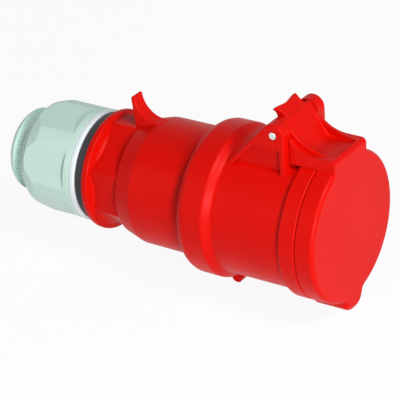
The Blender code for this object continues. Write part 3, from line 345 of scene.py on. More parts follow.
reach = Vector((PIN_X - EAR_FOOT[0], PIN_Z - EAR_FOOT[1]))
slope = math.atan2(reach.y, reach.x) + math.asin(EAR_R / reach.length)
head = arc((PIN_X, PIN_Z), EAR_R, 0, math.degrees(slope) + 90, 24)
along = Vector((math.cos(slope), math.sin(slope)))
inner_line = Vector(EAR_FOOT) + Vector((along.y, -along.x)) * EAR_LEG
pocket_rear_top = inner_line + along * ((POCKET_TOP_Z - inner_line.y) / along.y)
pocket_rear_low = inner_line + along * ((POCKET_LOW_Z - inner_line.y) / along.y)
pocket_front_x = PIN_X + EAR_R - EAR_LEG
ear_outline = [(PIN_X + EAR_R, EAR_ROOT_Z)] + head + [EAR_FOOT, (EAR_FOOT[0], EAR_ROOT_Z)]
for side in (-1, 1):
    plate = edged(slab("ear", ear_outline, side * EAR_INNER_Y, side * EAR_OUTER_Y), EAR_EDGE, 4)
    sharp_y = side * (EAR_OUTER_Y - EAR_ROUNDED_PART)
    merged(plate, slab("ear_inner_half", ear_outline, side * EAR_INNER_Y, sharp_y))
    pocket = slab(
        "ear_pocket",
        moulded_outline(
            [
                (pocket_front_x + POCKET_DRAFT, POCKET_LOW_Z),
                (pocket_front_x, POCKET_TOP_Z, 0.0018),
                (pocket_rear_top.x, pocket_rear_top.y, 0.0008),
                (pocket_rear_low.x, pocket_rear_low.y),
            ]
        ),
        side * (EAR_OUTER_Y - POCKET_DEPTH),
        side * (EAR_OUTER_Y + OVER),
    )
    merged(plate, pocket, "DIFFERENCE")
    merged(housing, plate)

# The mouth of the housing
# What the mould's cores leave open. The plug's sleeve slides in the slot round the contact insert, and its
# key in the keyway below. Behind a seat ring for the insert is the wider bore that takes the handle.
BORE_R = 0.0355
BODY_WALL = 0.0019
SEAT_RING_R = 0.0313
SEAT_RING_WIDTH = 0.0030
COLLAR_CHAMFER = 0.0030
NOSE_HOLLOW_TOP_Z = -0.0374
KEYWAY_HALF_WIDTH = 0.0050
KEYWAY_DEPTH = 0.0017
KEYWAY_TOP_Z = -0.0320
KEYWAY_EDGE = 0.0005
PIN_HOLE_R = 0.0022
PIN_HOLE_END_Y = 0.0230
CHANNEL_REAR_X = -0.0605
CHANNEL_FRONT_X = -0.0445
CHANNEL_LOW_Z = -0.0385
CHANNEL_TOP_Z = -0.0326
CHANNEL_HALF_WIDTH = 0.0038
NOTCH_FRONT_X = -0.0432
NOTCH_LOW_Z = -0.0440
NOTCH_TOP_Z = -0.03745
NOTCH_HALF_WIDTH = 0.0083

bore = turned(
    "mouth",
    [
        (RIM_FRONT_X + OVER, 0),
        (RIM_FRONT_X + OVER, BORE_R),
        (SLOT_FLOOR_X, BORE_R),
        (SLOT_FLOOR_X, SEAT_RING_R),
        (SLOT_FLOOR_X - SEAT_RING_WIDTH, SEAT_RING_R),
        (SLOT_FLOOR_X - SEAT_RING_WIDTH, SPIGOT_BORE_R),
        (COLLAR_REAR_X + COLLAR_CHAMFER, SPIGOT_BORE_R),
        (COLLAR_REAR_X, COLLAR_MOUTH_R),
        (COLLAR_REAR_X - OVER, COLLAR_MOUTH_R),
        (COLLAR_REAR_X - OVER, 0),
    ],
)
merged(housing, bore, "DIFFERENCE")
nose_pocket = slab(
    "nose_pocket",
    nose_hollow(NOSE_HOLLOW_TOP_Z),
    RIM_REAR_X + BODY_WALL,
    RIM_FRONT_X + OVER,
    across="X",
)
merged(housing, nose_pocket, "DIFFERENCE")
keyway = slab(
    "keyway",
    moulded_outline(
        [
            (-KEYWAY_HALF_WIDTH, KEYWAY_TOP_Z),
            (-KEYWAY_HALF_WIDTH, -BORE_R - KEYWAY_DEPTH, KEYWAY_EDGE),
            (KEYWAY_HALF_WIDTH, -BORE_R - KEYWAY_DEPTH, KEYWAY_EDGE),
            (KEYWAY_HALF_WIDTH, KEYWAY_TOP_Z),
        ]
    ),
    SLOT_FLOOR_X + BODY_WALL,
    RIM_FRONT_X + OVER,
    across="X",
)
merged(housing, keyway, "DIFFERENCE")
pin_hole_outline = arc((PIN_X, PIN_Z), PIN_HOLE_R, 0, 345, 23)
pin_hole = slab("pin_hole", pin_hole_outline, -PIN_HOLE_END_Y, PIN_HOLE_END_Y)
merged(housing, pin_hole, "DIFFERENCE")

# The handle's latch lies in a channel under the collar, and its head comes out through a notch.
channel_outline = box_outline(CHANNEL_REAR_X, CHANNEL_FRONT_X, CHANNEL_LOW_Z, CHANNEL_TOP_Z)
latch_channel = slab("latch_channel", channel_outline, -CHANNEL_HALF_WIDTH, CHANNEL_HALF_WIDTH)
merged(housing, latch_channel, "DIFFERENCE")
notch_outline = box_outline(GUARD_FRONT_X, NOTCH_FRONT_X, NOTCH_LOW_Z, NOTCH_TOP_Z)
latch_notch = slab("latch_notch", notch_outline, -NOTCH_HALF_WIDTH, NOTCH_HALF_WIDTH)
merged(housing, latch_notch, "DIFFERENCE")


def smooth_faces(obj, angle=32):
    """Shades round faces smoothly and keeps flats flat up to their edges."""
    obj.data.shade_smooth()
    obj.data.set_sharp_from_angle(angle=math.radians(angle))
    weighted = obj.modifiers.new("Flats", "WEIGHTED_NORMAL")
    weighted.keep_sharp = True
    weighted.weight = 80
    return obj


smooth_faces(housing)
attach(housing, "socket")
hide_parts("front_housing")


# Glass-filled nylon, moulded red: satin, with the faint orange-peel that a mould's spark finish leaves
# and a little unevenness of colour where the melt has flowed. The real finish is far finer than a pixel,
# so it is drawn half a millimetre wide.
NYLON_IOR = 1.53


def hex_colour(text):
    """Linear colour from sRGB hex."""
    channels = [int(text[i : i + 2], 16) / 255 for i in (0, 2, 4)]
    return (*[c / 12.92 if c <= 0.04045 else ((c + 0.055) / 1.055) ** 2.4 for c in channels], 1)


def add_node(tree, kind, inputs=None, settings=None):
    """Adds a shader node; an input is a value, or another node's output socket to link."""
    node = tree.nodes.new(kind)
    for name, value in (settings or {}).items():
        setattr(node, name, value)
    for name, value in (inputs or {}).items():
        if isinstance(value, bpy.types.NodeSocket):
            tree.links.new(value, node.inputs[name])
        else:
            node.inputs[name].default_value = value
    return node


def new_material(name):
    """A new material, its node tree and its shader."""
    material = bpy.data.materials.new(name)
    material.use_nodes = True
    return material, material.node_tree, material.node_tree.nodes["Principled BSDF"]


def moulded_plastic(name, light, dark, roughness, grain=0.0005, depth=0.00004, gloss=0.5):
    """Satin moulded plastic: grain is the width of the mould's texture and depth its height, in metres."""
    material, tree, shader = new_material(name)
    place = add_node(tree, "ShaderNodeTexCoord").outputs["Object"]
    flow = add_node(tree, "ShaderNodeTexNoise", {"Vector": place, "Scale": 30.0, "Detail": 2.0})
    mix = add_node(
        tree,
        "ShaderNodeMix",
        {"Factor": flow.outputs["Fac"], "A": hex_colour(light), "B": hex_colour(dark)},
        {"data_type": "RGBA"},
    )
    tree.links.new(mix.outputs["Result"], shader.inputs["Base Color"])
    skin = add_node(tree, "ShaderNodeTexNoise", {"Vector": place, "Scale": 1 / (2 * grain), "Detail": 3.0})
    span = add_node(
        tree,
        "ShaderNodeMapRange",
        {"Value": flow.outputs["Fac"], "To Min": roughness - 0.04, "To Max": roughness + 0.04},
    )
    tree.links.new(span.outputs["Result"], shader.inputs["Roughness"])
    bump = add_node(
        tree,
        "ShaderNodeBump",
        {"Height": skin.outputs["Fac"], "Distance": depth, "Strength": 0.6},
    )
    tree.links.new(bump.outputs["Normal"], shader.inputs["Normal"])
    shader.inputs["IOR"].default_value = NYLON_IOR
    shader.inputs["Specular IOR Level"].default_value = gloss
    return material


# The colours are the light and the dark of the mould's flow. The low gloss is matched to the photo, where
# the red throws back hardly any white.
red_polyamide = moulded_plastic("satin_red_polyamide", "D20A02", "C60801", 0.40, gloss=0.08)


def finished_in(obj, material):
    """Makes this the object's one material."""
    obj.data.materials.clear()
    obj.data.materials.append(material)


finished_in(housing, red_polyamide)

# The handle
# A second red moulding: a round grip that tapers and steps down to a waist with eight flats, a rounded
# flange for the gland and a neck with the gland's thread. A hook for the thumb stands on the taper, and
# a latch under the front snaps through the collar's shoulder.
GRIP_FRONT_X = -0.0500
GRIP_FRONT_R = 0.0343
GRIP_REAR_X = -0.0985
GRIP_REAR_R = 0.0340
TAPER_END_X = -0.1085
TAPER_END_R = 0.0311
WAIST_INNER_R = 0.0246
WAIST_CORNERS = ((101, 0.0308), (157.5, 0.0306), (203, 0.0298), (249, 0.0286))
FLANGE_FRONT_X = -0.1260
FLANGE_REAR_X = -0.1303
FLANGE_R = 0.0323
FILLET_SPOT = (-0.1210, 0.0312)
FILLET_R = 0.0045
NECK_R = 0.0240
NECK_REAR_X = -0.1580

handle = turned(
    "moulded_handle",
    moulded_outline(
        [
            (GRIP_FRONT_X, 0),
            (GRIP_FRONT_X, GRIP_FRONT_R, 0.0003),
            (GRIP_REAR_X, GRIP_REAR_R, 0.0060),
            (TAPER_END_X, TAPER_END_R, 0.0007),
            (TAPER_END_X - TAPER_END_R + WAIST_INNER_R, WAIST_INNER_R),
            (TAPER_END_X - TAPER_END_R + WAIST_INNER_R, 0),
        ],
        6,
    ),
)
waist_outline = []
for angle, radius in WAIST_CORNERS:
    turn = math.radians(angle)
    waist_outline.append((radius * math.cos(turn), radius * math.sin(turn), 0.0015))
waist_outline += [(-y, z, rounding) for y, z, rounding in reversed(waist_outline)]
waist = slab("waist", moulded_outline(waist_outline), FLANGE_FRONT_X - OVER, TAPER_END_X, across="X")
merged(handle, waist)

# A hollow fillet runs from the waist up to the flange.
flange = turned(
    "flange",
    moulded_outline(
        [
            (FILLET_SPOT[0], 0),
            *arc(FILLET_SPOT, FILLET_R, 270, 188, 8),
            (FLANGE_FRONT_X, 0.0308),
            (FLANGE_FRONT_X, FLANGE_R, 0.0012),
            (FLANGE_REAR_X, FLANGE_R, 0.0018),
            (FLANGE_REAR_X, NECK_R),
            (NECK_REAR_X, NECK_R, 0.0004),
            (NECK_REAR_X, 0),
        ],
        6,
    ),
)
merged(handle, flange)

# The thumb hook is a blade whose front is hollowed in one sweep down to the grip.
HOOK_HALF_WIDTH = 0.0040
HOOK_EDGE = 0.0009
HOOK_ROOT_Z = 0.0259
sweep = arc((-0.0981, 0.0479), 0.0136, 184, 276, 24)
hook = slab(
    "thumb_hook",
    [(sweep[-1][0], HOOK_ROOT_Z), (-0.1115, HOOK_ROOT_Z), (-0.1138, 0.0459), (-0.1131, 0.0471)] + sweep,
    -HOOK_HALF_WIDTH,
    HOOK_HALF_WIDTH,
)
merged(handle, edged(hook, HOOK_EDGE))

# Inside is one open room for the cable's cores, which narrows to the neck. The clamp cage stands in the
# neck against a stop ring.
GRIP_BORE_R = 0.0313
STOP_RING_R = 0.0165
STOP_RING_REAR_X = -0.1400
NECK_BORE_R = 0.0205
SEAL_GROOVE_FRONT_X = -0.0624
SEAL_GROOVE_REAR_X = -0.0644
SEAL_GROOVE_R = 0.0326
cavity = turned(
    "handle_cavity",
    [
        (GRIP_FRONT_X + OVER, 0),
        (GRIP_FRONT_X + OVER, GRIP_BORE_R),
        (GRIP_REAR_X, GRIP_BORE_R),
        (TAPER_END_X, WAIST_INNER_R),
        (FLANGE_FRONT_X + 0.0030, WAIST_INNER_R),
        (FLANGE_FRONT_X - 0.0003, STOP_RING_R),
        (STOP_RING_REAR_X, STOP_RING_R),
        (STOP_RING_REAR_X, NECK_BORE_R),
        (NECK_REAR_X - OVER, NECK_BORE_R),
        (NECK_REAR_X - OVER, 0),
    ],
)
merged(handle, cavity, "DIFFERENCE")
groove_outline = [
    (SEAL_GROOVE_FRONT_X, SEAL_GROOVE_R),
    (SEAL_GROOVE_FRONT_X, GRIP_FRONT_R + OVER),
    (SEAL_GROOVE_REAR_X, GRIP_FRONT_R + OVER),
    (SEAL_GROOVE_REAR_X, SEAL_GROOVE_R),
]
merged(handle, turned("seal_groove", groove_outline), "DIFFERENCE")

# The latch is a springy tongue under the grip, with a ramped head that snaps through the collar.
TONGUE_HALF_WIDTH = 0.0035
latch_tongue = slab(
    "latch_tongue",
    [
        (-0.0602, -0.0333),
        (-0.0602, -0.0382),
        (-0.0451, -0.0382),
        (-0.0451, -0.0352),
        (-0.0572, -0.0352),
        (-0.0572, -0.0333),
    ],
    -TONGUE_HALF_WIDTH,
    TONGUE_HALF_WIDTH,
)
merged(handle, latch_tongue)
latch_head = slab(
    "latch_head",
    [(-0.0543, -0.0377), (-0.0543, -0.0432), (-0.0525, -0.0450), (-0.0498, -0.0450), (-0.0444, -0.0377)],
    -LATCH_HALF_WIDTH,
    LATCH_HALF_WIDTH,
)
merged(handle, edged(latch_head, 0.0005, 2))
smooth_faces(handle, 28)
finished_in(handle, red_polyamide)
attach(handle, "socket")
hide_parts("handle")

# The lid
# A red cap with the rim's outline. A hinge box on top of it, hollowed like a scoop, reaches back between
# the ears to the pin, and ends in a lever for the thumb.
LID_REAR_X = 0.0045
LID_FACE_X = 0.0149
LID_R = 0.0399
LID_EDGE = 0.0025
LID_WALL = 0.0028
KNUCKLE_HALF_WIDTH = 0.0127
SCOOP_HALF_WIDTH = 0.0108
CHEEK_INNER_Y = 0.0115
CHEEK_OUTER_Y = 0.0157
SCOOP_FLOOR_Z = 0.0421
SCOOP_TOP_Z = 0.0620
CHEEK_TOP_Z = 0.0434
BOX_LOW_Z = 0.0349
BOX_REAR_X = -0.0109
ARM_FRONT_X = 0.0136
RIM_ROOM_R = 0.0403


def through(points, steps=6):
    """A smooth line through the points."""
    spots = [Vector(p) for p in points]
    spots = [2 * spots[0] - spots[1]] + spots + [2 * spots[-1] - spots[-2]]
    found = []
    for a, b, c, d in zip(spots, spots[1:], spots[2:], spots[3:]):
        for step in range(steps):
            t = step / steps
            found.append(
                tuple(
                    0.5
                    * (
                        2 * b
                        + (c - a) * t
                        + (2 * a - 5 * b + 4 * c - d) * t * t
                        + (3 * b - 3 * c + d - a) * t**3
                    )
                )
            )
    return found + [tuple(spots[-2])]


lid = keyed_solid("moulded_lid", LID_R, edge_stations(LID_REAR_X, LID_FACE_X, 0.0008, LID_EDGE))

# The arm carries two low rails that run out into the scoop below the lever.
scoop_line = through(
    [
        (0.0060, 0.0421),
        (0.0010, 0.0421),
        (-0.0024, 0.0424),
        (-0.0052, 0.0442),
        (-0.0082, 0.0484),
        (-0.0126, 0.0553),
    ]
)
rail_line = through(
    [
        (0.0100, 0.0434),
        (0.0050, 0.0442),
        (0.0, 0.0459),
        (-0.0050, 0.0481),
        (-0.0095, 0.0515),
        (-0.0126, 0.0554),
    ]
)
arm_front = [(ARM_FRONT_X, BOX_LOW_Z), (ARM_FRONT_X, 0.0430), (0.0130, CHEEK_TOP_Z)]
knuckle = arc((PIN_X, PIN_Z), EAR_R, 60, 250, 26)
under_arm = [(PIN_X, PIN_Z - EAR_R), (PIN_X + EAR_R, 0.0409), (BOX_REAR_X, BOX_LOW_Z)]
arm_outline = arm_front + rail_line + knuckle + under_arm
arm = slab("lid_arm", arm_outline, -KNUCKLE_HALF_WIDTH, KNUCKLE_HALF_WIDTH)
edged(arm, 0.0006)
scoop = slab(
    "scoop",
    [(0.0200, SCOOP_FLOOR_Z)] + scoop_line + [(-0.0126, SCOOP_TOP_Z), (0.0200, SCOOP_TOP_Z)],
    -SCOOP_HALF_WIDTH,
    SCOOP_HALF_WIDTH,
)
merged(arm, edged(scoop, 0.0008), "DIFFERENCE")


def rim_room():
    """The space that the rim takes under the arm and cheeks."""
    rear = PIN_X - OVER
    front = LID_REAR_X + 0.0003
    return turned("rim_room", [(rear, 0), (rear, RIM_ROOM_R), (front, RIM_ROOM_R), (front, 0)])


merged(arm, rim_room(), "DIFFERENCE")

# The lever leans back from the knuckle, waisted, with full corners and a shallow dish across its end.
# Each row is a spot on its front, one on its back, its half width and how far the dish draws it in. The
# dish draws a point back and down, and takes three quarters of the width.
lever_rows = [
    ((-0.0128, 0.0538), (-0.0210, 0.0538), 0.0088, 0.0),
    ((-0.0128, 0.0556), (-0.0212, 0.0560), 0.0087, 0.0),
    ((-0.0143, 0.0576), (-0.0218, 0.0580), 0.0085, 0.0),
    ((-0.0164, 0.0594), (-0.0225, 0.0598), 0.0087, 0.0),
    ((-0.0188, 0.0612), (-0.0230, 0.0606), 0.0092, 0.0004),
    ((-0.0206, 0.0626), (-0.0236, 0.0607), 0.0095, 0.0009),
    ((-0.0216, 0.0634), (-0.0240, 0.0609), 0.0095, 0.0012),
]
shares = (-1.0, -0.9, -0.6, -0.2, 0.2, 0.6, 0.9, 1.0)
DISH_BACK = 0.80
DISH_DOWN = 0.60
DISH_SHARE = 0.75
shape = bmesh.new()
front_grid = []
back_grid = []
for front, rear, half, dish in lever_rows:
    for spot, grid in ((front, front_grid), (rear, back_grid)):
        row = []
        for share in shares:
            drawn = dish * max(0.0, math.cos(math.pi / 2 * share / DISH_SHARE))
            x, z = spot[0] + DISH_BACK * drawn, spot[1] - DISH_DOWN * drawn
            row.append(shape.verts.new((x, half * share, z)))
        grid.append(row)
for grid in (front_grid, back_grid):
    for low, high in zip(grid, grid[1:]):
        for i in range(len(shares) - 1):
            shape.faces.new((low[i], low[i + 1], high[i + 1], high[i]))
for front, rear in ((front_grid[0], back_grid[0]), (front_grid[-1], back_grid[-1])):
    for i in range(len(shares) - 1):
        shape.faces.new((front[i], front[i + 1], rear[i + 1], rear[i]))
for i in (0, -1):
    for low, high, rear_low, rear_high in zip(front_grid, front_grid[1:], back_grid, back_grid[1:]):
        shape.faces.new((low[i], high[i], rear_high[i], rear_low[i]))
lever = mesh_object("lever", shape)
rounder = lever.modifiers.new("Rounded", "SUBSURF")
rounder.levels = 3
merged(arm, settled(lever))

# The hinge box has a full, rounded cheek on each side of the scoop and a low wall across the front.
CHEEK_FRONT_R = 0.0026
CHEEK_EDGE = 0.0018
BOX_FRONT_WALL = 0.0052
cheek_front = arc((LID_FACE_X - CHEEK_FRONT_R, CHEEK_TOP_Z - CHEEK_FRONT_R), CHEEK_FRONT_R, 0, 90, 10)
cheek_sweep = arc((0.0042, 0.0636), 0.0202, 270, 221.6, 20)
for side in (-1, 1):
    cheek = slab(
        "cheek",
        [(LID_FACE_X, BOX_LOW_Z)] + cheek_front + cheek_sweep + [(BOX_REAR_X, BOX_LOW_Z)],
        side * CHEEK_INNER_Y,
        side * CHEEK_OUTER_Y,
    )
    edged(cheek, CHEEK_EDGE, 5)
    merged(cheek, rim_room(), "DIFFERENCE")
    merged(arm, cheek)
wall_rear_x = LID_FACE_X - BOX_FRONT_WALL
box_front = slab(
    "box_front",
    [(LID_FACE_X, BOX_LOW_Z)]
    + cheek_front
    + [(wall_rear_x, SCOOP_FLOOR_Z - 0.0005), (wall_rear_x, BOX_LOW_Z)],
    -CHEEK_OUTER_Y + OVER,
    CHEEK_OUTER_Y - OVER,
)
merged(arm, box_front)
merged(lid, arm)

# Inside, the cap has a step for its gasket, and the knuckle is cut away for the spring and its leg.
LID_BORE_R = 0.0325
GASKET_SEAT_R = 0.0380
GASKET_SEAT_X = 0.0078
LID_POCKET_TOP_Z = -0.0385
KNUCKLE_HOLE_R = 0.0023
KNUCKLE_CUT_Y = 0.0150
SPRING_ROOM_R = 0.0047
SPRING_ROOM_Y = 0.0095
LEG_ROOM_Y = 0.0096
LEG_ROOM = [(-0.0256, 0.0483), (-0.0162, 0.0483), (-0.0162, 0.0609), (-0.0256, 0.0609)]
inside = turned(
    "lid_inside",
    [
        (LID_REAR_X - OVER, 0),
        (LID_REAR_X - OVER, GASKET_SEAT_R),
        (GASKET_SEAT_X, GASKET_SEAT_R),
        (GASKET_SEAT_X, LID_BORE_R),
        (LID_FACE_X - LID_WALL, LID_BORE_R),
        (LID_FACE_X - LID_WALL, 0),
    ],
)
merged(lid, inside, "DIFFERENCE")
lid_pocket = slab(
    "lid_pocket",
    nose_hollow(LID_POCKET_TOP_Z),
    LID_REAR_X - OVER,
    LID_FACE_X - LID_WALL,
    across="X",
)
merged(lid, lid_pocket, "DIFFERENCE")
knuckle_hole_outline = arc((PIN_X, PIN_Z), KNUCKLE_HOLE_R, 0, 345, 23)
knuckle_hole = slab("knuckle_hole", knuckle_hole_outline, -KNUCKLE_CUT_Y, KNUCKLE_CUT_Y)
merged(lid, knuckle_hole, "DIFFERENCE")
spring_room_outline = arc((PIN_X, PIN_Z), SPRING_ROOM_R, 0, 352.5, 47)
merged(lid, slab("spring_room", spring_room_outline, SPRING_ROOM_Y, KNUCKLE_CUT_Y), "DIFFERENCE")
merged(lid, slab("leg_room", LEG_ROOM, LEG_ROOM_Y, KNUCKLE_CUT_Y), "DIFFERENCE")
smooth_faces(lid, 30)
finished_in(lid, red_polyamide)
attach(lid, "lid")
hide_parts("lid")

# The hinge pin
# A pin of drawn steel wire through both ears and the lid's knuckle. It is cut off square with its edges
# broken, and stands a little out of each ear.
PIN_R = 0.0020
PIN_END_Y = 0.0205
PIN_EDGE = 0.0003
pin_profile = moulded_outline(
    [(-PIN_END_Y, 0), (-PIN_END_Y, PIN_R, PIN_EDGE), (PIN_END_Y, PIN_R, PIN_EDGE), (PIN_END_Y, 0)],
    3,
)
pin = turned("steel_pin", pin_profile, 32)
pin.data.transform(Matrix.Rotation(math.radians(90), 4, "Z"))
pin.data.transform(Matrix.Translation((PIN_X, 0, PIN_Z)))
smooth_faces(pin)


def bare_metal(name, colour, mark_width, smooth, rough):
    """Bare metal with its tool's marks, of this width in metres, between a smooth and a rough sheen."""
    material, tree, shader = new_material(name)
    place = add_node(tree, "ShaderNodeTexCoord").outputs["Object"]
    marks = add_node(tree, "ShaderNodeTexNoise", {"Vector": place, "Scale": 1 / mark_width, "Detail": 2.0})
    span = add_node(
        tree,
        "ShaderNodeMapRange",
        {"Value": marks.outputs["Fac"], "To Min": smooth, "To Max": rough},
    )
    tree.links.new(span.outputs["Result"], shader.inputs["Roughness"])
    shader.inputs["Base Color"].default_value = hex_colour(colour)
    shader.inputs["Metallic"].default_value = 1.0
    return material


# Drawing leaves the steel bright, with a soft sheen broken by fine marks. They are drawn coarser than
# they are, so that they show.
bright_steel = bare_metal("drawn_steel", "DCDDD9", 0.0004, 0.30, 0.46)
finished_in(pin, bright_steel)
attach(pin, "socket")
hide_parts("hinge_pin")

# The lid's spring
# A torsion spring of 0.9 mm wire round the pin at the far end of the knuckle: a long leg bears on the
# shroud and a short one is caught in the knuckle.
SPRING_R = 0.0035
WIRE_R = 0.00045
COIL_START_Y = 0.01225
COIL_END_Y = 0.0104
COIL_START = 135
COIL_SWEEP = 495
COIL_STEPS = 66
SHORT_LEG_DROP = 0.0058
start_angle = math.radians(COIL_START)
leave_x = PIN_X + SPRING_R * math.cos(start_angle)
leave_z = PIN_Z + SPRING_R * math.sin(start_angle)
rest_z = math.sqrt(BODY_R**2 - COIL_START_Y**2) + 2 * WIRE_R
points = [(leave_x - (leave_z - rest_z), COIL_START_Y, rest_z)]
for step in range(COIL_STEPS + 1):
    angle = math.radians(COIL_START - COIL_SWEEP * step / COIL_STEPS)
    y = COIL_START_Y + (COIL_END_Y - COIL_START_Y) * step / COIL_STEPS
    points.append((PIN_X + SPRING_R * math.cos(angle), y, PIN_Z + SPRING_R * math.sin(angle)))
points.append((PIN_X + SPRING_R, COIL_END_Y, PIN_Z - SHORT_LEG_DROP))
line = bpy.data.curves.new("torsion_spring", "CURVE")
line.dimensions = "3D"
line.bevel_depth = WIRE_R
line.bevel_resolution = 3
line.use_fill_caps = True
spline = line.splines.new("POLY")
spline.points.add(len(points) - 1)
for point, spot in zip(spline.points, points):
    point.co = (*spot, 1)
coil = bpy.data.objects.new("coil_line", line)
bpy.context.scene.collection.objects.link(coil)
bpy.context.view_layer.update()
mesh = bpy.data.meshes.new_from_object(coil.evaluated_get(bpy.context.evaluated_depsgraph_get()))
bpy.data.objects.remove(coil, do_unlink=True)
spring = bpy.data.objects.new("torsion_spring", mesh)
bpy.context.scene.collection.objects.link(spring)
spring.data.shade_smooth()
finished_in(spring, bright_steel)
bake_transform(spring)
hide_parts("lid_spring")

# The seals
# Black rubber: a flat gasket in the lid, a ring in the handle's groove and a thick ring between the flange
# and the gland, which shows as a dark band.
black_rubber = moulded_plastic("black_rubber", "1B1B1C", "141415", 0.62, 0.0004, 0.00003)
lid_gasket = turned(
    "lid_gasket",
    moulded_outline(
        [
            (0.0046, 0.0336, 0.0005),
            (0.0076, 0.0336),
            (0.0076, 0.0377),
            (0.0046, 0.0377, 0.0005),
        ],
        3,
    ),
)
neck_ring = turned(
    "neck_ring",
    moulded_outline(
        [
            (-0.1306, 0.0243),
            (-0.1306, 0.0295, 0.0008),
            (-0.1357, 0.0295, 0.0008),
            (-0.1357, 0.0243),
        ],
        3,
    ),
)
for obj, body, node in ((lid_gasket, "lid", "lid_seal"), (neck_ring, "socket", "neck_seal")):
    smooth_faces(obj)
    finished_in(obj, black_rubber)
    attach(obj, body)
    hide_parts(node)
finished_in(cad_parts["joint_seal"], black_rubber)

# The contact insert
# A dark nylon block with five entries for the plug's pins, the earth entry the widest and next to the
# keyway. Slotted brass tubes stand in it, each gripped by a spring clip, with a clamp screw behind.
INSERT_R = 0.0310
INSERT_FLANGE_R = 0.0342
INSERT_FLANGE_X = -0.0451
INSERT_REAR_X = -0.0497
PIN_CIRCLE_R = 0.0183
PHASE_ENTRY_R = 0.0033
EARTH_ENTRY_R = 0.0043
ENTRY_CHAMFER = 0.0008
ENTRY_FLARE = 0.0028
ENTRY_END_X = -0.0060
CHAMBER_FRONT_X = -0.0030
CHAMBER_REAR_X = -0.0520
CHAMBER_WIDER = 0.00225
insert = turned(
    "contact_insert",
    moulded_outline(
        [
            (0.0, 0),
            (0.0, INSERT_R, 0.0010),
            (INSERT_FLANGE_X, INSERT_R),
            (INSERT_FLANGE_X, INSERT_FLANGE_R, 0.0003),
            (INSERT_REAR_X, INSERT_FLANGE_R, 0.0003),
            (INSERT_REAR_X, 0),
        ]
    ),
)
for index, entry_r in enumerate((PHASE_ENTRY_R,) * 4 + (EARTH_ENTRY_R,)):
    angle = -math.pi / 2 + 2 * math.pi * (index + 1) / 5
    place = Matrix.Translation((0, PIN_CIRCLE_R * math.cos(angle), PIN_CIRCLE_R * math.sin(angle)))
    entry_outline = [
        (OVER, 0),
        (OVER, entry_r + ENTRY_FLARE),
        (-ENTRY_CHAMFER, entry_r),
        (ENTRY_END_X, entry_r),
        (ENTRY_END_X, 0),
    ]
    entry = turned("entry", entry_outline, 48)
    entry.data.transform(place)
    merged(insert, entry, "DIFFERENCE")
    room = entry_r + CHAMBER_WIDER
    chamber_outline = [
        (CHAMBER_FRONT_X, 0),
        (CHAMBER_FRONT_X, room),
        (CHAMBER_REAR_X, room),
        (CHAMBER_REAR_X, 0),
    ]
    chamber = turned("chamber", chamber_outline, 48)
    chamber.data.transform(place)
    merged(insert, chamber, "DIFFERENCE")
smooth_faces(insert)
dark_nylon = moulded_plastic("dark_nylon", "4A4D50", "434649", 0.5)
finished_in(insert, dark_nylon)
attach(insert, "socket")
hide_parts("contact_carrier")

# Turning leaves the brass brighter than the steel, with wider marks, also drawn coarser than they are.
turned_brass = bare_metal("turned_brass", "C9A14A", 1 / 900, 0.22, 0.38)
for pole in ("L1", "L2", "L3", "N", "PE"):
    finished_in(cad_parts["contact_" + pole], turned_brass)
    finished_in(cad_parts["clip_" + pole], bright_steel)
    finished_in(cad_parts["screw_" + pole], bright_steel)

# The cable gland
# A pale grey-green nylon nut on the handle's neck. In front is a round collar, then six flats, a narrow
# groove and a ring, a recess with fine ribs, and a rounded lip round the cable's way in. The collar's rounded
# front edge is a separate near-white band: a painted highlight where that edge catches the light.
NUT_FRONT_X = -0.1360
BAND_REAR_X = -0.1393
NUT_R = 0.0302
NUT_APOTHEM = 0.0281
FLATS_FRONT_X = -0.1430
FLATS_REAR_X = -0.1880
NUT_TURN = 13
CLEAR_OF_NUT_R = 0.05
nut = turned(
    "gland_nut_body",
    moulded_outline(
        [
            (BAND_REAR_X, 0.0245),
            (BAND_REAR_X, NUT_R - 0.0002, 0.0006),
            (-0.1640, NUT_R - 0.0002, 0.0060),
            (-0.1703, 0.0281, 0.0004),
            (-0.1704, 0.0264),
            (-0.1711, 0.0264),
            (-0.1711, 0.0266, 0.0003),
            (-0.1741, 0.0252, 0.0006),
            (-0.1749, 0.0210, 0.0004),
            (-0.1807, 0.0210, 0.0003),
            (-0.1807, 0.0225, 0.0005),
            (-0.1821, 0.0223, 0.0010),
            (-0.1842, 0.0206, 0.0016),
            (-0.1857, 0.0175, 0.0010),
            (-0.1857, 0.0145, 0.0005),
            (-0.1703, 0.0145),
            (-0.1583, 0.0205),
            (-0.1583, 0.0245),
        ],
        6,
    ),
)

# What stays of the nut lies inside this six-sided form, which is wide open in front of the flats.
flats = bmesh.new()
rings = []
corner_r = NUT_APOTHEM / math.cos(math.pi / 6)
stations = (
    (NUT_FRONT_X + OVER, CLEAR_OF_NUT_R),
    (FLATS_FRONT_X, CLEAR_OF_NUT_R),
    (FLATS_FRONT_X, corner_r),
    (FLATS_REAR_X, corner_r),
)
for x, radius in stations:
    ring = []
    for i in range(6):
        angle = math.radians(NUT_TURN + 60 * i)
        ring.append(flats.verts.new((x, radius * math.cos(angle), radius * math.sin(angle))))
    rings.append(ring)
flats.faces.new(rings[0])
flats.faces.new(rings[-1])
for last, ring in zip(rings, rings[1:]):
    for i in range(6):
        flats.faces.new((last[i - 1], last[i], ring[i], ring[i - 1]))
merged(nut, mesh_object("nut_flats", flats), "INTERSECT")

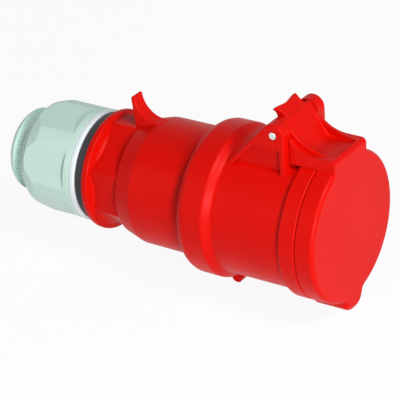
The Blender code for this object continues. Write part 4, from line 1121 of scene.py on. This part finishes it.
# Fine ribs run along the recess between the ring and the lip.
RIB_COUNT = 56
RIB_FOOT_R = 0.0208
RIB_TOP_R = 0.0214
RIB_BORE_R = 0.0170
RIB_FRONT_X = -0.1745
RIB_REAR_X = -0.1809
rib_form = ((0.0, RIB_FOOT_R), (0.1, RIB_TOP_R), (0.4, RIB_TOP_R), (0.5, RIB_FOOT_R))
ribs = []
for i in range(RIB_COUNT):
    for share, radius in rib_form:
        angle = 2 * math.pi * (i + share) / RIB_COUNT
        ribs.append((radius * math.cos(angle), radius * math.sin(angle)))
rib_ring = slab("nut_ribs", ribs, RIB_REAR_X, RIB_FRONT_X, across="X")
rib_bore = turned("rib_bore", [(-0.1740, 0), (-0.1740, RIB_BORE_R), (-0.1820, RIB_BORE_R), (-0.1820, 0)])
merged(rib_ring, rib_bore, "DIFFERENCE")
merged(nut, rib_ring)
smooth_faces(nut, 24)
grey_nylon = moulded_plastic("pale_grey_nylon", "C4E0D6", "BCD9CE", 0.42, 0.0006, 0.00003, 0.3)
finished_in(nut, grey_nylon)
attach(nut, "nut")
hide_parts("gland_nut")
# The band's near-white colour is a painted highlight where the collar's rounded front edge catches the light.
nut_highlight_band = turned(
    "nut_front_highlight_band",
    moulded_outline(
        [
            (NUT_FRONT_X, 0.0246),
            (NUT_FRONT_X, NUT_R, 0.0012),
            (BAND_REAR_X, NUT_R, 0.0008),
            (BAND_REAR_X, 0.0246),
        ],
        6,
    ),
)
smooth_faces(nut_highlight_band)
finished_in(nut_highlight_band, moulded_plastic("painted_highlight_nylon", "DCE5E8", "D5DFE3", 0.40))
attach(nut_highlight_band, "nut")
finished_in(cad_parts["clamp_cage"], grey_nylon)
finished_in(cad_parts["cable_seal"], black_rubber)

# The light and the ground
# Plain soft studio light: two lamps on the lid's side, one low and one high, a weak wide fill from the
# left and a dim sky. The paper ground and the backdrop are white to the camera and in gloss and glass,
# and the ground keeps the object's shadow.
SKY_STRENGTH = 0.18
GROUND_Z = -0.0471
GROUND_WHITE = 0.92
LIGHT_AIM = (-0.07, 0, 0)

scene = bpy.context.scene
scene.view_settings.view_transform = "Standard"


def softbox(name, spot, aim, width, height, power):
    """A rectangular lamp, aimed at a spot."""
    lamp = bpy.data.lights.new(name, "AREA")
    lamp.shape = "RECTANGLE"
    lamp.size = width
    lamp.size_y = height
    lamp.energy = power
    obj = bpy.data.objects.new(name, lamp)
    scene.collection.objects.link(obj)
    obj.location = spot
    obj.rotation_euler = (Vector(aim) - Vector(spot)).to_track_quat("-Z", "Y").to_euler()
    return obj


softbox("key_light", (0.85, -0.74, 0.25), LIGHT_AIM, width=0.3, height=0.3, power=9)
softbox("high_light", (0.67, -0.25, 0.92), LIGHT_AIM, width=0.3, height=0.3, power=8.4)
softbox("fill_light", (-0.9, -0.9, 0.4), LIGHT_AIM, width=0.8, height=0.8, power=2.2)


def either(tree, first, second):
    """The larger of two outputs, as a new output."""
    node = add_node(tree, "ShaderNodeMath", {0: first, 1: second}, {"operation": "MAXIMUM"})
    return node.outputs[0]


def seen_white(tree):
    """1 for the camera's rays and for those that gloss and glass send on, and 0 for the rest."""
    ray = add_node(tree, "ShaderNodeLightPath").outputs
    camera_or_gloss = either(tree, ray["Is Camera Ray"], ray["Is Glossy Ray"])
    return either(tree, camera_or_gloss, ray["Is Transmission Ray"])


world = bpy.data.worlds.new("studio")
scene.world = world
world.use_nodes = True
tree = world.node_tree
sky = tree.nodes["Background"]
sky.inputs["Color"].default_value = (1, 1, 1, 1)
sky.inputs["Strength"].default_value = SKY_STRENGTH
white = add_node(tree, "ShaderNodeBackground", {"Color": (1, 1, 1, 1), "Strength": 1.0})
mixed = add_node(
    tree,
    "ShaderNodeMixShader",
    {0: seen_white(tree), 1: sky.outputs[0], 2: white.outputs[0]},
)
tree.links.new(mixed.outputs[0], tree.nodes["World Output"].inputs["Surface"])

bpy.ops.mesh.primitive_plane_add(size=6, location=(0, 0, GROUND_Z))
ground = bpy.context.object
ground.name = "ground"
white_paper, tree, shader = new_material("white_paper")
shader.inputs["Base Color"].default_value = (0.9, 0.9, 0.9, 1)
shader.inputs["Roughness"].default_value = 0.9
glow = add_node(tree, "ShaderNodeEmission", {"Color": (1, 1, 1, 1), "Strength": 1.0})
share = add_node(
    tree,
    "ShaderNodeMath",
    {0: seen_white(tree), 1: GROUND_WHITE},
    {"operation": "MULTIPLY"},
)
mixed = add_node(
    tree,
    "ShaderNodeMixShader",
    {0: share.outputs[0], 1: shader.outputs[0], 2: glow.outputs[0]},
)
tree.links.new(mixed.outputs[0], tree.nodes["Material Output"].inputs["Surface"])
finished_in(ground, white_paper)
